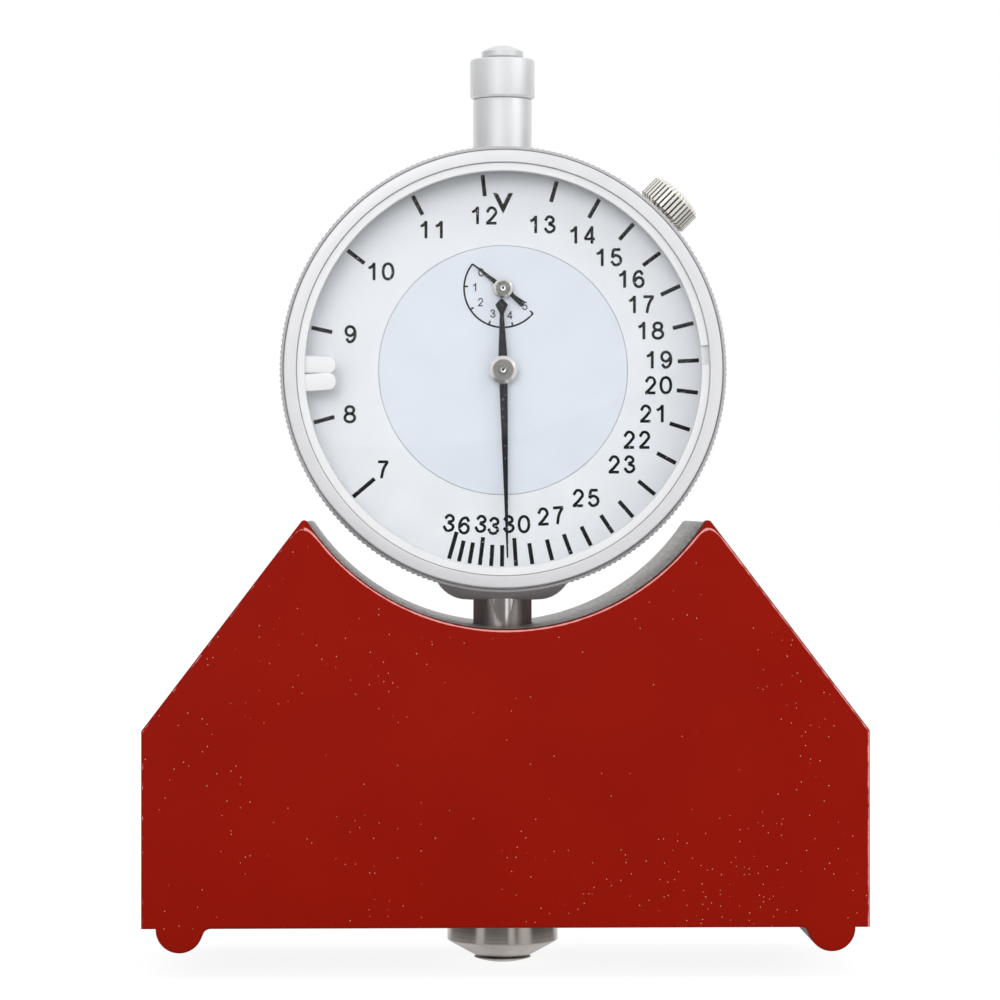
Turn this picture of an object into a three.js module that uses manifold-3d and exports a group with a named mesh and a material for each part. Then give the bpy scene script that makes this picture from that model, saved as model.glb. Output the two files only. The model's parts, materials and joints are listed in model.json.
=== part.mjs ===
// A screen tension meter: a dial gauge clamped in an aluminium block that stands on two rounded noses, with
// a sprung plunger between them that the stretched mesh pushes up.
// Lengths are in millimetres and angles in degrees. +Z is up and the front faces -Y. The origin is the lowest
// point of the measuring tip, on the axis that the plunger, the stem and the spindle share.

import * as THREE from "three";
import { mergeVertices } from "three/addons/utils/BufferGeometryUtils.js";
import Module from "manifold-3d";

const wasm = await Module();
wasm.setup();

// Clearances and tool sizes that all the pieces share.
const slide = 0.05; // radial clearance of a shaft in its bore
const seat = 0.05; // gap between two faces that rest on each other
const turning = 0.15; // radial clearance of the bezel and of what sits inside it
const overrun = 1; // how far a cutter runs past the face that it cuts
const weld = 1e-4; // points closer than this are one point

// The block and its red front plate share one outline.
const body = { width: 96, depth: 38, side: 26, floor: 39.5, tipRise: 14.65, tipRound: 2.2 };
const plate = { thickness: 3, tipRound: 0.5 };
const nose = { radius: 3.1, drop: 3.2, inset: 5, fillet: 1.2, blendAngle: 25 };
const saddle = { gap: 1.6, drop: 2.9 }; // room round the bezel, and how far its centre lies under the gauge's

// The screws that hold the plate, from the back, and the one that clamps the stem.
const plateScrew = {
  radius: 1.5, headRadius: 2.75, headHeight: 3, sink: 1, bite: 2, socketRadius: 1.3, socketDepth: 1.6,
  fromSide: 10, fromUnderside: 8.3, fromTip: 0.6, overFloor: 0.8,
};
const stemScrew = { radius: 2, sink: 2, socketRadius: 1.15, socketDepth: 2 };

// The plunger in the block.
const travel = 5;
const plunger = {
  reach: 3.5, // how far its tip stands below the noses when nothing touches it
  headRadius: 7.55, headLength: 6, coneRise: 2, coneRadius: 4, room: 0.45, shaftRadius: 3.5, shaftEnd: 1.5,
};
const tip = { radius: 3.9, rise: 1.05, shankRadius: 2, shankLength: 5, steps: 5 };
const guideBush = { radius: 6.5, length: 7.5, stopRoom: 0.4 };
const stopRing = { radius: 5.2, thickness: 0.9, grooveDepth: 0.5 };
const mainSpring = { radius: 5.5, wire: 0.4, length: 10.4, turns: 5, endGap: 0.1 };
const adjuster = { thickness: 3, hole: 3.2 };

// The dial gauge's spindle and stem.
const spindle = { radius: 2.5, shankRadius: 1.25, shankLength: 4, shankRoom: 0.5 };
const contact = { radius: 2.25, length: 5.5, endRadius: 1.1, endRise: 0.8 };
const stem = { wall: 1.45 };
const sleeve = { wall: 1.35, length: 10.8, neckWall: 0.65, neckLength: 4.7 };
const cap = { radius: 4.4, height: 5.7, roof: 0.9, bevel: 0.3 };
const button = { radius: 2.85, edge: 0.55, rise: 0.9, steps: 5 };

// The rack and the gears. The rack's pitch sets the size of every tooth, and its spare teeth reach past the
// pinion at both ends of the travel.
const rack = { pitch: 0.625, width: 3, inset: 0.91, back: 1, spareTeeth: 4 };
const train = {
  rackPinionTeeth: 16, wheelTeeth: 100, centreTeeth: 10, wheelThickness: 0.8, pinionOverhang: 0.3,
  arborRadius: 0.45, rackArborRadius: 0.6, windowRadius: 2.6, windows: 3,
};
const toothShares = { addendum: 0.95, dedendum: 1.25, vAddendum: 1.15, vDedendum: 1.6, root: 0.33, tip: 0.1 };
const windowPlaceShare = 0.55; // of the wheel's pitch radius

// The movement's plates, pillars, bridge and springs.
const movement = {
  plate: 0.8, edgeRoom: 2.5, spindleRoom: 1.5, rearRoom: 1.8, frontRoom: 1, bridgeRoom: 0.7, coverRoom: 1.6,
};
const pillar = { radius: 1.5, neckRadius: 0.8, places: [0, 163, 311] };
const bridge = { margin: 2.2, postRadius: 1.5, postX: 8, reach: 7 };
const guide = { pinRadius: 0.8, height: 2, room: 2.5, width: 3, wall: 1.5, tail: 2.6, root: 1.5 };
const returnSpring = { radius: 1, wire: 0.18, turns: 10, length: 12.6, postRadius: 0.8, postEnd: 1.2, gap: 0.3 };
const hairspring = { inner: 1.1, pitch: 0.6, turns: 3, thickness: 0.14, height: 0.6 };

// The case, its cover and the bezel that turns on it.
const shell = {
  gearRoom: 3.93, wall: 2, collar: 0.5, collarLength: 2.05, flange: 1.2, openingRoom: 1.6, pillarRoom: 2,
};
const lug = { radius: 9.8, mouth: 5, drop: 3.9, height: 5.5, steps: 5 };
const lugFlatShare = 0.64; // how deep the lug is, as a share of its width
const topBoss = { radius: 5.2, rise: 1 };
const cover = { plug: 1, thickness: 1.2, margin: 0.1, edge: 0.3 };
const coverScrew = {
  radius: 1, headRadius: 1.9, headHeight: 0.8, length: 4.6, bossRadius: 2.3, bossInset: 2.1, bossLength: 5.1,
  slotWidth: 0.5, slotDepth: 0.4, places: [30, 150, 210, 330],
};
const bezel = { ledge: 0.5, lip: 0.25, lipThickness: 0.8, rim: 0.85, knurl: 0.7, edge: 0.3, frontBand: 1.5,
  knurlWidth: 4.6, skirt: 0.5 };
const crystal = { room: 2.1, thickness: 1.2 };
const limit = { thickness: 0.4, width: 1.7, tabLength: 4.1, tabWidth: 2.3, split: 5.5, apart: 5.4, tilt: 1.3 };
const lock = { fromTop: 44.8, depth: 4.6, bossRadius: 3.2, shankRadius: 1.5, shankDepth: 3.6, collarRadius: 2.6,
  collar: 0.5, radius: 3.85, length: 3.1, dome: 0.6, domeRadius: 2.9, endRoom: 0.2 };

// The dial, its hands and their hubs.
const dial = { thickness: 0.4, discRadius: 16.6, split: 0.15, spacerRadius: 13, holeRadius: 0.7 };
const largeHand = { tipGap: 2.6, tipWidth: 0.18, rootWidth: 1.07, eyeRadius: 1.5, thickness: 0.25, angle: 178.8,
  tail: 9.47, tailWidth: 0.3, spade: 1.55, neck: 0.5, neckAt: 7.5, spadeAt: 8.7, tailRoot: 1.04, tailRootAt: 2.3 };
const smallHand = { length: 4.94, tipWidth: 0.14, rootWidth: 0.6, eyeRadius: 1, thickness: 0.2, angle: 308.7,
  tail: 3.5, neck: 0.34, tailWidth: 0.67 };
const largeHub = { radius: 1.8, face: 1.39, head: 0.35, bevel: 0.2, neckWall: 0.5, neckLength: 1.1 };
const smallHub = { radius: 1.22, face: 0.96, head: 0.25, bevel: 0.12, neckWall: 0.35, lift: 0.2, neckLength: 0.4 };
const handRoom = 0.2; // between a hand and the hub behind it

// The gauge stands a little turned in its clamp.
const gaugeTurn = -1.2;

// How many flat sides round things have.
const sides = { bezel: 48, stem: 20, plunger: 24, hub: 12, arbor: 10, screw: 10, curve: 8 };
const coilSteps = { round: 8, wire: 5, thinRound: 6, thinWire: 4 };

const radians = THREE.MathUtils.degToRad;

// Heights on the block.
const undersideZ = plunger.reach + nose.drop;
const floorZ = undersideZ + body.floor;
const tipZ = floorZ + body.tipRise;
const shoulderZ = undersideZ + body.side;
const frontY = -body.depth / 2;
const backY = body.depth / 2;
const plateBackY = frontY + plate.thickness;

// Heights of the plunger's stack, from the tip up.
const headRimZ = tip.rise + plunger.coneRise;
const headTopZ = headRimZ + plunger.headLength;
const bushZ = headTopZ + travel + guideBush.stopRoom;
const bushTopZ = bushZ + guideBush.length;
const stopZ = bushTopZ + seat;
const stopTopZ = stopZ + stopRing.thickness;
const shaftTopZ = stopTopZ + plunger.shaftEnd;
const adjusterZ = stopTopZ + mainSpring.length;
const stemBottomZ = adjusterZ + adjuster.thickness + seat;
const contactZ = shaftTopZ + seat;

// The gears' pitch circles, and where their axes lie from the gauge's centre.
const toothModule = rack.pitch / Math.PI;
const pitchRadius = (teeth) => (teeth * toothModule) / 2;
const axisDistance = pitchRadius(train.wheelTeeth) + pitchRadius(train.centreTeeth);
const rackLineX = -(spindle.radius - rack.inset);
const rackArborX = rackLineX - pitchRadius(train.rackPinionTeeth);
const rackArborZ = -Math.sqrt(axisDistance ** 2 - rackArborX ** 2);
const wheelReach = axisDistance + pitchRadius(train.wheelTeeth) + toothModule * toothShares.vAddendum;

// Radii of the case and the bezel, from the gears outwards.
const caseBore = wheelReach + shell.gearRoom;
const caseRadius = caseBore + shell.wall;
const collarRadius = caseRadius + shell.collar;
const bezelBore = collarRadius + turning;
const grooveRadius = bezelBore + bezel.ledge;
const lipRadius = bezelBore - bezel.lip;
const bezelRadius = grooveRadius + bezel.rim;
const knurlRadius = bezelRadius + bezel.knurl;
const glassRadius = grooveRadius - turning;
const openingRadius = dial.discRadius + shell.openingRoom;
const pillarCircle = openingRadius + shell.pillarRoom;

// The saddle follows the bezel, and carries the gauge's centre with it.
const saddleRadius = knurlRadius + saddle.gap;
const saddleZ = floorZ + saddleRadius;
const tipX = Math.sqrt(saddleRadius ** 2 - (saddleZ - tipZ) ** 2);
const gaugeZ = saddleZ + saddle.drop;

// Depths in the gauge, from the spindle's axis to the front and to the back.
const rearPlateBackY = -(spindle.radius + movement.spindleRoom);
const rearPlateY = rearPlateBackY - movement.plate;
const wheelBackY = rearPlateY - movement.rearRoom;
const wheelY = wheelBackY - train.wheelThickness;
const frontPlateBackY = wheelY - movement.frontRoom;
const frontPlateY = frontPlateBackY - movement.plate;
const flangeBackY = frontPlateY - seat;
const flangeY = flangeBackY - shell.flange;
const dialBackY = flangeY - seat;
const dialY = dialBackY - dial.thickness;
const glassBackY = dialY - crystal.room;
const glassY = glassBackY - crystal.thickness;
const rearLimitBackY = glassY - seat;
const rearLimitY = rearLimitBackY - limit.thickness;
const frontLimitBackY = rearLimitY - seat;
const frontLimitY = frontLimitBackY - limit.thickness;
const lipBackY = frontLimitY - seat;
const bezelY = lipBackY - bezel.lipThickness;
const collarBackY = flangeY + shell.collarLength;
const bridgeY = spindle.radius + movement.bridgeRoom;
const bridgeBackY = bridgeY + movement.plate;
const plugY = bridgeBackY + movement.coverRoom;
const caseBackY = plugY + cover.plug;
const coverY = caseBackY + seat;
const coverBackY = coverY + cover.thickness;
const knurlBackY = bezelY + bezel.frontBand + bezel.knurlWidth;

// Depths of the hands, from the dial to the glass.
const smallHubBackY = dialY - smallHub.lift;
const smallHandBackY = smallHubBackY - smallHub.neckLength / 2;
const smallHandY = smallHandBackY - smallHand.thickness;
const smallHubY = smallHandY - seat - smallHub.head;
const largeHandBackY = smallHubY - handRoom;
const largeHandY = largeHandBackY - largeHand.thickness;
const largeHubY = largeHandY - seat - largeHub.head;

// Heights on the gauge, from its centre.
const stemTop = -Math.sqrt(caseBore ** 2 - (spindle.radius + stem.wall) ** 2) - overrun / 2;
const lugBottom = -caseRadius - lug.drop;
const stemRadius = spindle.radius + slide + stem.wall;
const sleeveBore = spindle.radius + turning;
const sleeveRadius = sleeveBore + sleeve.wall;
const sleeveBottom = -stemTop;
const sleeveTop = caseRadius + sleeve.length;
const neckRadius = sleeveBore + sleeve.neckWall;
const capTop = sleeveTop + cap.height;
const buttonBottom = capTop + seat * 2;
const spindleBottom = contactZ + contact.length + seat - gaugeZ;
const spindleTop = buttonBottom - seat;
const lockBossEnd = knurlRadius + turning;

// A closed surface as a solid that can be cut and joined, and back again.
function solidOf(geometry) {
  const bare = geometry.clone();
  bare.deleteAttribute("normal");
  bare.deleteAttribute("uv");
  const merged = mergeVertices(bare, weld);
  return new wasm.Manifold(
    new wasm.Mesh({
      numProp: 3,
      vertProperties: merged.getAttribute("position").array,
      triVerts: new Uint32Array(merged.index.array),
    }),
  );
}

function geometryOf(solid) {
  const mesh = solid.getMesh();
  const geometry = new THREE.BufferGeometry();
  geometry.setAttribute("position", new THREE.BufferAttribute(mesh.vertProperties, mesh.numProp));
  geometry.setIndex(new THREE.BufferAttribute(mesh.triVerts, 1));
  const faceted = geometry.toNonIndexed();
  faceted.computeVertexNormals();
  return faceted;
}

const join = (first, ...others) => others.reduce((sum, part) => sum.add(solidOf(part)), solidOf(first));
const cut = (solid, ...tools) => tools.reduce((left, tool) => left.subtract(solidOf(tool)), solid);

// A shape turned about the y axis, or the z axis, from its half section: a list of [radius, place along the
// axis] with the outside going up the axis. It closes itself where it doesn't start and end on the axis.
function turnedY(section, steps) {
  const points = section.map(([radius, along]) => new THREE.Vector2(radius, along));
  if (section[0][0] > 0 || section.at(-1)[0] > 0) points.push(points[0].clone());
  return new THREE.LatheGeometry(points, steps);
}
const turnedZ = (section, steps) => turnedY(section, steps).rotateX(Math.PI / 2);
const rod = (radius, from, to) => [[0, from], [radius, from], [radius, to], [0, to]];
const tube = (bore, radius, from, to) => [[bore, from], [radius, from], [radius, to], [bore, to]];

// An outline drawn in x and z, made as deep as the distance from its front to its back.
function slab(shape, front, back, steps = sides.curve) {
  const geometry = new THREE.ExtrudeGeometry(shape, {
    depth: back - front, bevelEnabled: false, curveSegments: steps,
  });
  return geometry.rotateX(Math.PI / 2).translate(0, back, 0);
}

function box(left, right, front, back, bottom, top) {
  const geometry = new THREE.BoxGeometry(right - left, back - front, top - bottom);
  return geometry.translate((left + right) / 2, (front + back) / 2, (bottom + top) / 2);
}

const onCircle = (radius, degrees) => [
  radius * Math.cos(radians(degrees)), radius * Math.sin(radians(degrees)),
];

// A wire wound round the z axis. It starts and ends with a flat cap.
function coil(radius, wire, bottom, top, turns, round, count) {
  const steps = turns * round;
  const places = [];
  const faces = [];
  for (let step = 0; step <= steps; step += 1) {
    const angle = (step / round) * 2 * Math.PI;
    const height = bottom + wire + ((top - bottom - 2 * wire) * step) / steps;
    for (let side = 0; side < count; side += 1) {
      const about = (side / count) * 2 * Math.PI;
      const out = radius + wire * Math.cos(about);
      places.push(out * Math.cos(angle), out * Math.sin(angle), height + wire * Math.sin(about));
    }
  }
  for (let step = 0; step < steps; step += 1) {
    for (let side = 0; side < count; side += 1) {
      const a = step * count + side;
      const b = step * count + ((side + 1) % count);
      faces.push(a, a + count, b, b, a + count, b + count);
    }
  }
  const last = steps * count;
  for (let side = 1; side < count - 1; side += 1) {
    faces.push(0, side, side + 1, last, last + side + 1, last + side);
  }
  const geometry = new THREE.BufferGeometry();
  geometry.setAttribute("position", new THREE.Float32BufferAttribute(places, 3));
  geometry.setIndex(faces);
  geometry.computeVertexNormals();
  return geometry;
}

const finish = (color, roughness, metalness) =>
  new THREE.MeshStandardMaterial({ color, roughness, metalness });
const looks = {
  block: finish("#a39c98", 0.35, 0.9),
  red: finish("#941c0d", 0.4, 0.1),
  steel: finish("#8f8b88", 0.25, 1),
  satin: finish("#c9cccf", 0.35, 0.9),
  nickel: finish("#b9b4a8", 0.2, 1),
  brass: finish("#b08d4a", 0.35, 1),
  bronze: finish("#9a6b3c", 0.4, 1),
  spring: finish("#6d6f72", 0.35, 1),
  white: finish("#e9eef1", 0.5, 0),
  disc: finish("#dee5ef", 0.5, 0),
  black: finish("#1b1b1d", 0.5, 0.2),
  glass: finish("#e6eef2", 0.05, 0),
  shell: finish("#8d8b8a", 0.4, 0.8),
};

const meter = new THREE.Group();
const gauge = new THREE.Group();
gauge.position.z = gaugeZ;
gauge.rotation.z = radians(gaugeTurn);
meter.add(gauge);

function place(name, shape, material, parent = meter) {
  const mesh = new THREE.Mesh(shape.isBufferGeometry ? shape : geometryOf(shape), material);
  mesh.name = name;
  parent.add(mesh);
  return mesh;
}

// The outline of the block and the plate: flat underside with a nose near each end, upright sides, slants
// up to two tips, and the round saddle between them.
function bodyShape(tipRound) {
  const half = body.width / 2;
  const noseX = half - nose.inset;
  const noseZ = undersideZ - nose.drop + nose.radius;
  const blend = radians(nose.blendAngle);
  const slant = new THREE.Vector2(half - tipX, shoulderZ - tipZ).setLength(tipRound);
  const from = Math.atan2(tipZ - saddleZ, tipX) - tipRound / saddleRadius;
  const shape = new THREE.Shape();
  shape.moveTo(-half, undersideZ);
  shape.lineTo(-noseX - nose.radius, undersideZ);
  shape.absarc(-noseX, noseZ, nose.radius, Math.PI, 2 * Math.PI - blend, false);
  shape.quadraticCurveTo(-noseX + nose.radius, undersideZ, -noseX + nose.radius + nose.fillet, undersideZ);
  shape.lineTo(noseX - nose.radius - nose.fillet, undersideZ);
  shape.quadraticCurveTo(
    noseX - nose.radius, undersideZ,
    noseX - nose.radius * Math.cos(blend), noseZ - nose.radius * Math.sin(blend),
  );
  shape.absarc(noseX, noseZ, nose.radius, Math.PI + blend, 2 * Math.PI, false);
  shape.lineTo(noseX + nose.radius, undersideZ);
  shape.lineTo(half, undersideZ);
  shape.lineTo(half, shoulderZ);
  shape.lineTo(tipX + slant.x, tipZ + slant.y);
  shape.quadraticCurveTo(
    tipX, tipZ, saddleRadius * Math.cos(from), saddleZ + saddleRadius * Math.sin(from),
  );
  shape.absarc(0, saddleZ, saddleRadius, from, -Math.PI - from, true);
  shape.quadraticCurveTo(-tipX, tipZ, -tipX - slant.x, tipZ + slant.y);
  shape.lineTo(-half, shoulderZ);
  return shape;
}

// Where the plate's four screws are: two low near the sides, two high beside the saddle.
const plateScrewPlaces = [-1, 1].flatMap((side) => [
  [side * (body.width / 2 - plateScrew.fromSide), undersideZ + plateScrew.fromUnderside],
  [side * (tipX + plateScrew.fromTip), floorZ + plateScrew.overFloor],
]);
const screwSeatY = backY - plateScrew.sink - plateScrew.headHeight;
const stemScrewZ = (stemBottomZ + floorZ) / 2;

function addBlock() {
  const bore = turnedZ([
    [0, undersideZ - overrun],
    [plunger.headRadius + plunger.room, undersideZ - overrun],
    [plunger.headRadius + plunger.room, bushZ - seat],
    [guideBush.radius + slide, bushZ - seat],
    [guideBush.radius + slide, stemBottomZ - seat],
    [stemRadius + slide, stemBottomZ - seat],
    [stemRadius + slide, floorZ + overrun],
    [0, floorZ + overrun],
  ], sides.plunger);
  const screwHoles = plateScrewPlaces.map(([x, z]) =>
    turnedY([
      [0, plateBackY - overrun],
      [plateScrew.radius + slide, plateBackY - overrun],
      [plateScrew.radius + slide, screwSeatY],
      [plateScrew.headRadius + turning, screwSeatY],
      [plateScrew.headRadius + turning, backY + overrun],
      [0, backY + overrun],
    ], sides.screw).translate(x, 0, z));
  const clampHole = turnedY(rod(stemScrew.radius + slide, overrun, backY + overrun), sides.screw)
    .translate(0, 0, stemScrewZ);
  const block = solidOf(slab(bodyShape(body.tipRound), plateBackY, backY));
  place("body_block", cut(block, bore, ...screwHoles, clampHole), looks.block);
}

function addFrontPlate() {
  const holes = plateScrewPlaces.map(([x, z]) =>
    turnedY(rod(plateScrew.radius + slide, plateBackY - plateScrew.bite, plateBackY + overrun), sides.screw)
      .translate(x, 0, z));
  const front = solidOf(slab(bodyShape(plate.tipRound), frontY, plateBackY - seat));
  place("front_plate", cut(front, ...holes), looks.red);
  plateScrewPlaces.forEach(([x, z], index) => {
    const screw = turnedY([
      [0, plateBackY - plateScrew.bite + seat],
      [plateScrew.radius, plateBackY - plateScrew.bite + seat],
      [plateScrew.radius, screwSeatY + seat],
      [plateScrew.headRadius, screwSeatY + seat],
      [plateScrew.headRadius, screwSeatY + seat + plateScrew.headHeight],
      [plateScrew.socketRadius, screwSeatY + seat + plateScrew.headHeight],
      [plateScrew.socketRadius, screwSeatY + seat + plateScrew.headHeight - plateScrew.socketDepth],
      [0, screwSeatY + seat + plateScrew.headHeight - plateScrew.socketDepth],
    ], sides.screw).translate(x, 0, z);
    place("plate_screw_" + (index + 1), screw, looks.steel);
  });
}

function addStemScrew() {
  const end = backY - stemScrew.sink;
  const screw = turnedY([
    [0, stemRadius + seat],
    [stemScrew.radius, stemRadius + seat],
    [stemScrew.radius, end],
    [stemScrew.socketRadius, end],
    [stemScrew.socketRadius, end - stemScrew.socketDepth],
    [0, end - stemScrew.socketDepth],
  ], sides.screw).translate(0, 0, stemScrewZ);
  place("stem_clamp_screw", screw, looks.steel);
}

// A flat dome from the axis out to its edge, as points of a half section.
function dome(radius, rise, steps, at, direction) {
  const ball = (radius ** 2 + rise ** 2) / (2 * rise);
  const full = Math.asin(radius / ball);
  return Array.from({ length: steps + 1 }, (_, step) => {
    const angle = (full * step) / steps;
    return [ball * Math.sin(angle), at - direction * ball * (1 - Math.cos(angle))];
  });
}

function addPlunger() {
  const tipPoints = dome(tip.radius, tip.rise, tip.steps, 0, -1);
  const shankTop = tip.rise + tip.shankLength;
  place("plunger_tip", turnedZ([
    ...tipPoints, [tip.shankRadius, tip.rise], [tip.shankRadius, shankTop], [0, shankTop],
  ], sides.plunger), looks.steel);
  const groove = plunger.shaftRadius - stopRing.grooveDepth;
  place("measuring_plunger", turnedZ([
    [tip.shankRadius + slide, tip.rise + seat],
    [plunger.coneRadius, tip.rise + seat],
    [plunger.headRadius, headRimZ],
    [plunger.headRadius, headTopZ],
    [plunger.shaftRadius, headTopZ],
    [plunger.shaftRadius, stopZ - seat],
    [groove, stopZ - seat],
    [groove, stopTopZ + seat],
    [plunger.shaftRadius, stopTopZ + seat],
    [plunger.shaftRadius, shaftTopZ],
    [0, shaftTopZ],
    [0, shankTop + seat],
    [tip.shankRadius + slide, shankTop + seat],
    [tip.shankRadius + slide, tip.rise + seat],
  ], sides.plunger), looks.steel);
  place("plunger_guide_bush", turnedZ(
    tube(plunger.shaftRadius + slide, guideBush.radius, bushZ, bushTopZ), sides.plunger), looks.bronze);
  place("plunger_stop_ring", turnedZ(
    tube(groove + slide, stopRing.radius, stopZ, stopTopZ), sides.plunger), looks.spring);
  place("main_spring", coil(mainSpring.radius, mainSpring.wire, stopTopZ + mainSpring.endGap,
    adjusterZ - mainSpring.endGap, mainSpring.turns, coilSteps.round, coilSteps.wire), looks.spring);
  place("spring_adjuster", turnedZ(
    tube(adjuster.hole, guideBush.radius, adjusterZ, adjusterZ + adjuster.thickness), sides.plunger),
  looks.brass);
}

const boltPlaces = coverScrew.places.map((degrees) => onCircle(caseBore - coverScrew.bossInset, degrees));
const alongLock = (geometry) => geometry.rotateY(radians(lock.fromTop)).translate(0, -lock.depth, 0);

function addCase() {
  const wall = turnedY([
    [openingRadius, flangeY],
    [collarRadius, flangeY],
    [collarRadius, collarBackY],
    [caseRadius, collarBackY],
    [caseRadius, caseBackY],
    [caseBore, caseBackY],
    [caseBore, flangeBackY],
    [openingRadius, flangeBackY],
  ], sides.bezel);
  const lugCurve = Array.from({ length: lug.steps + 1 }, (_, step) => {
    const angle = ((Math.PI / 2) * step) / lug.steps;
    return [
      lug.mouth + (lug.radius - lug.mouth) * Math.sin(angle), lugBottom + lug.height * (1 - Math.cos(angle)),
    ];
  });
  const lugTop = -caseBore + overrun;
  const lugSolid = turnedZ([[0, lugBottom], ...lugCurve, [lug.radius, lugTop], [0, lugTop]], sides.stem)
    .scale(1, lugFlatShare, 1);
  const boss = turnedZ(rod(topBoss.radius, caseBore - overrun, caseRadius + topBoss.rise), sides.stem);
  const lockBoss = alongLock(turnedZ(rod(lock.bossRadius, caseBore - overrun, lockBossEnd), sides.stem));
  const inside = turnedY(rod(caseBore, flangeBackY, caseBackY + overrun), sides.bezel);
  const stemHole = turnedZ(rod(stemRadius + slide, lugBottom - overrun, -openingRadius), sides.stem);
  const sleeveHole = turnedZ(
    rod(sleeveRadius + slide, openingRadius, caseRadius + topBoss.rise + overrun), sides.stem);
  const lockHole = alongLock(turnedZ(
    rod(lock.shankRadius + slide, lockBossEnd - lock.shankDepth - lock.endRoom, lockBossEnd + overrun),
    sides.stem));
  const pillarHoles = pillar.places.map((degrees) => {
    const [x, z] = onCircle(pillarCircle, degrees);
    return turnedY(rod(pillar.neckRadius + slide, flangeY - overrun, flangeBackY + overrun), sides.arbor)
      .translate(x, 0, z);
  });
  const bossEnd = plugY - seat;
  const bosses = boltPlaces.map(([x, z]) => {
    const solid = turnedY(rod(coverScrew.bossRadius, bossEnd - coverScrew.bossLength, bossEnd), sides.screw);
    return solid.translate(x, 0, z);
  });
  const boltHoles = boltPlaces.map(([x, z]) =>
    turnedY(rod(coverScrew.radius + slide, bossEnd - coverScrew.length, bossEnd + overrun), sides.arbor)
      .translate(x, 0, z));
  const outer = cut(join(wall, lugSolid, boss, lockBoss), inside);
  const withBosses = bosses.reduce((sum, part) => sum.add(solidOf(part)), outer);
  place("gauge_case", cut(withBosses, stemHole, sleeveHole, lockHole, ...pillarHoles, ...boltHoles),
    looks.shell, gauge);
}

function addCover() {
  const disc = solidOf(turnedY([
    [0, plugY], [caseBore - turning, plugY], [caseBore - turning, coverY],
    [caseRadius - cover.margin, coverY], [caseRadius - cover.margin, coverBackY - cover.edge],
    [caseRadius - cover.margin - cover.edge, coverBackY], [0, coverBackY],
  ], sides.bezel));
  const holes = boltPlaces.map(([x, z]) =>
    turnedY(rod(coverScrew.radius + slide, plugY - overrun, coverBackY + overrun), sides.arbor)
      .translate(x, 0, z));
  place("back_cover", cut(disc, ...holes), looks.shell, gauge);
  boltPlaces.forEach(([x, z], index) => {
    const under = coverBackY + seat;
    const top = under + coverScrew.headHeight;
    const screw = solidOf(turnedY([
      [0, plugY - coverScrew.length + seat * 2], [coverScrew.radius, plugY - coverScrew.length + seat * 2],
      [coverScrew.radius, under], [coverScrew.headRadius, under], [coverScrew.headRadius, top], [0, top],
    ], sides.screw));
    const slot = box(-coverScrew.headRadius - overrun, coverScrew.headRadius + overrun,
      top - coverScrew.slotDepth, top + overrun, -coverScrew.slotWidth / 2, coverScrew.slotWidth / 2);
    place("cover_screw_" + (index + 1), geometryOf(cut(screw, slot)).translate(x, 0, z), looks.steel, gauge);
  });
}

function addStem() {
  place("gauge_stem", turnedZ(
    tube(spindle.radius + slide, stemRadius, stemBottomZ - gaugeZ, stemTop), sides.stem), looks.steel, gauge);
  place("upper_sleeve", turnedZ([
    [sleeveBore, sleeveBottom],
    [sleeveRadius, sleeveBottom],
    [sleeveRadius, sleeveTop - seat],
    [neckRadius, sleeveTop - seat],
    [neckRadius, sleeveTop + sleeve.neckLength],
    [sleeveBore, sleeveTop + sleeve.neckLength],
  ], sides.stem), looks.satin, gauge);
  place("sleeve_cap", turnedZ([
    [neckRadius + slide, sleeveTop],
    [cap.radius - cap.bevel, sleeveTop],
    [cap.radius, sleeveTop + cap.bevel],
    [cap.radius, capTop - cap.bevel],
    [cap.radius - cap.bevel, capTop],
    [spindle.radius + turning, capTop],
    [spindle.radius + turning, capTop - cap.roof],
    [neckRadius + slide, capTop - cap.roof],
  ], sides.stem), looks.satin, gauge);
}

// The rack's outline: a bar with one flank of teeth that face the pinion. A gap faces the pinion's tooth.
function rackShape() {
  const shape = new THREE.Shape();
  const rootX = rackLineX + toothModule * toothShares.dedendum;
  const pointX = rackLineX - toothModule * toothShares.addendum;
  const below = Math.ceil(travel / rack.pitch) + rack.spareTeeth;
  const teeth = below + rack.spareTeeth;
  const bottom = rackArborZ - below * rack.pitch;
  const top = bottom + teeth * rack.pitch;
  shape.moveTo(rootX + rack.back, bottom);
  shape.lineTo(rootX + rack.back, top);
  shape.lineTo(rootX, top);
  for (let tooth = teeth; tooth > 0; tooth -= 1) {
    const middle = bottom + (tooth - 1 / 2) * rack.pitch;
    shape.lineTo(rootX, middle + rack.pitch * toothShares.root);
    shape.lineTo(pointX, middle + rack.pitch * toothShares.tip);
    shape.lineTo(pointX, middle - rack.pitch * toothShares.tip);
    shape.lineTo(rootX, middle - rack.pitch * toothShares.root);
  }
  shape.lineTo(rootX, bottom);
  return { shape, bottom, top, rootX };
}

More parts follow.
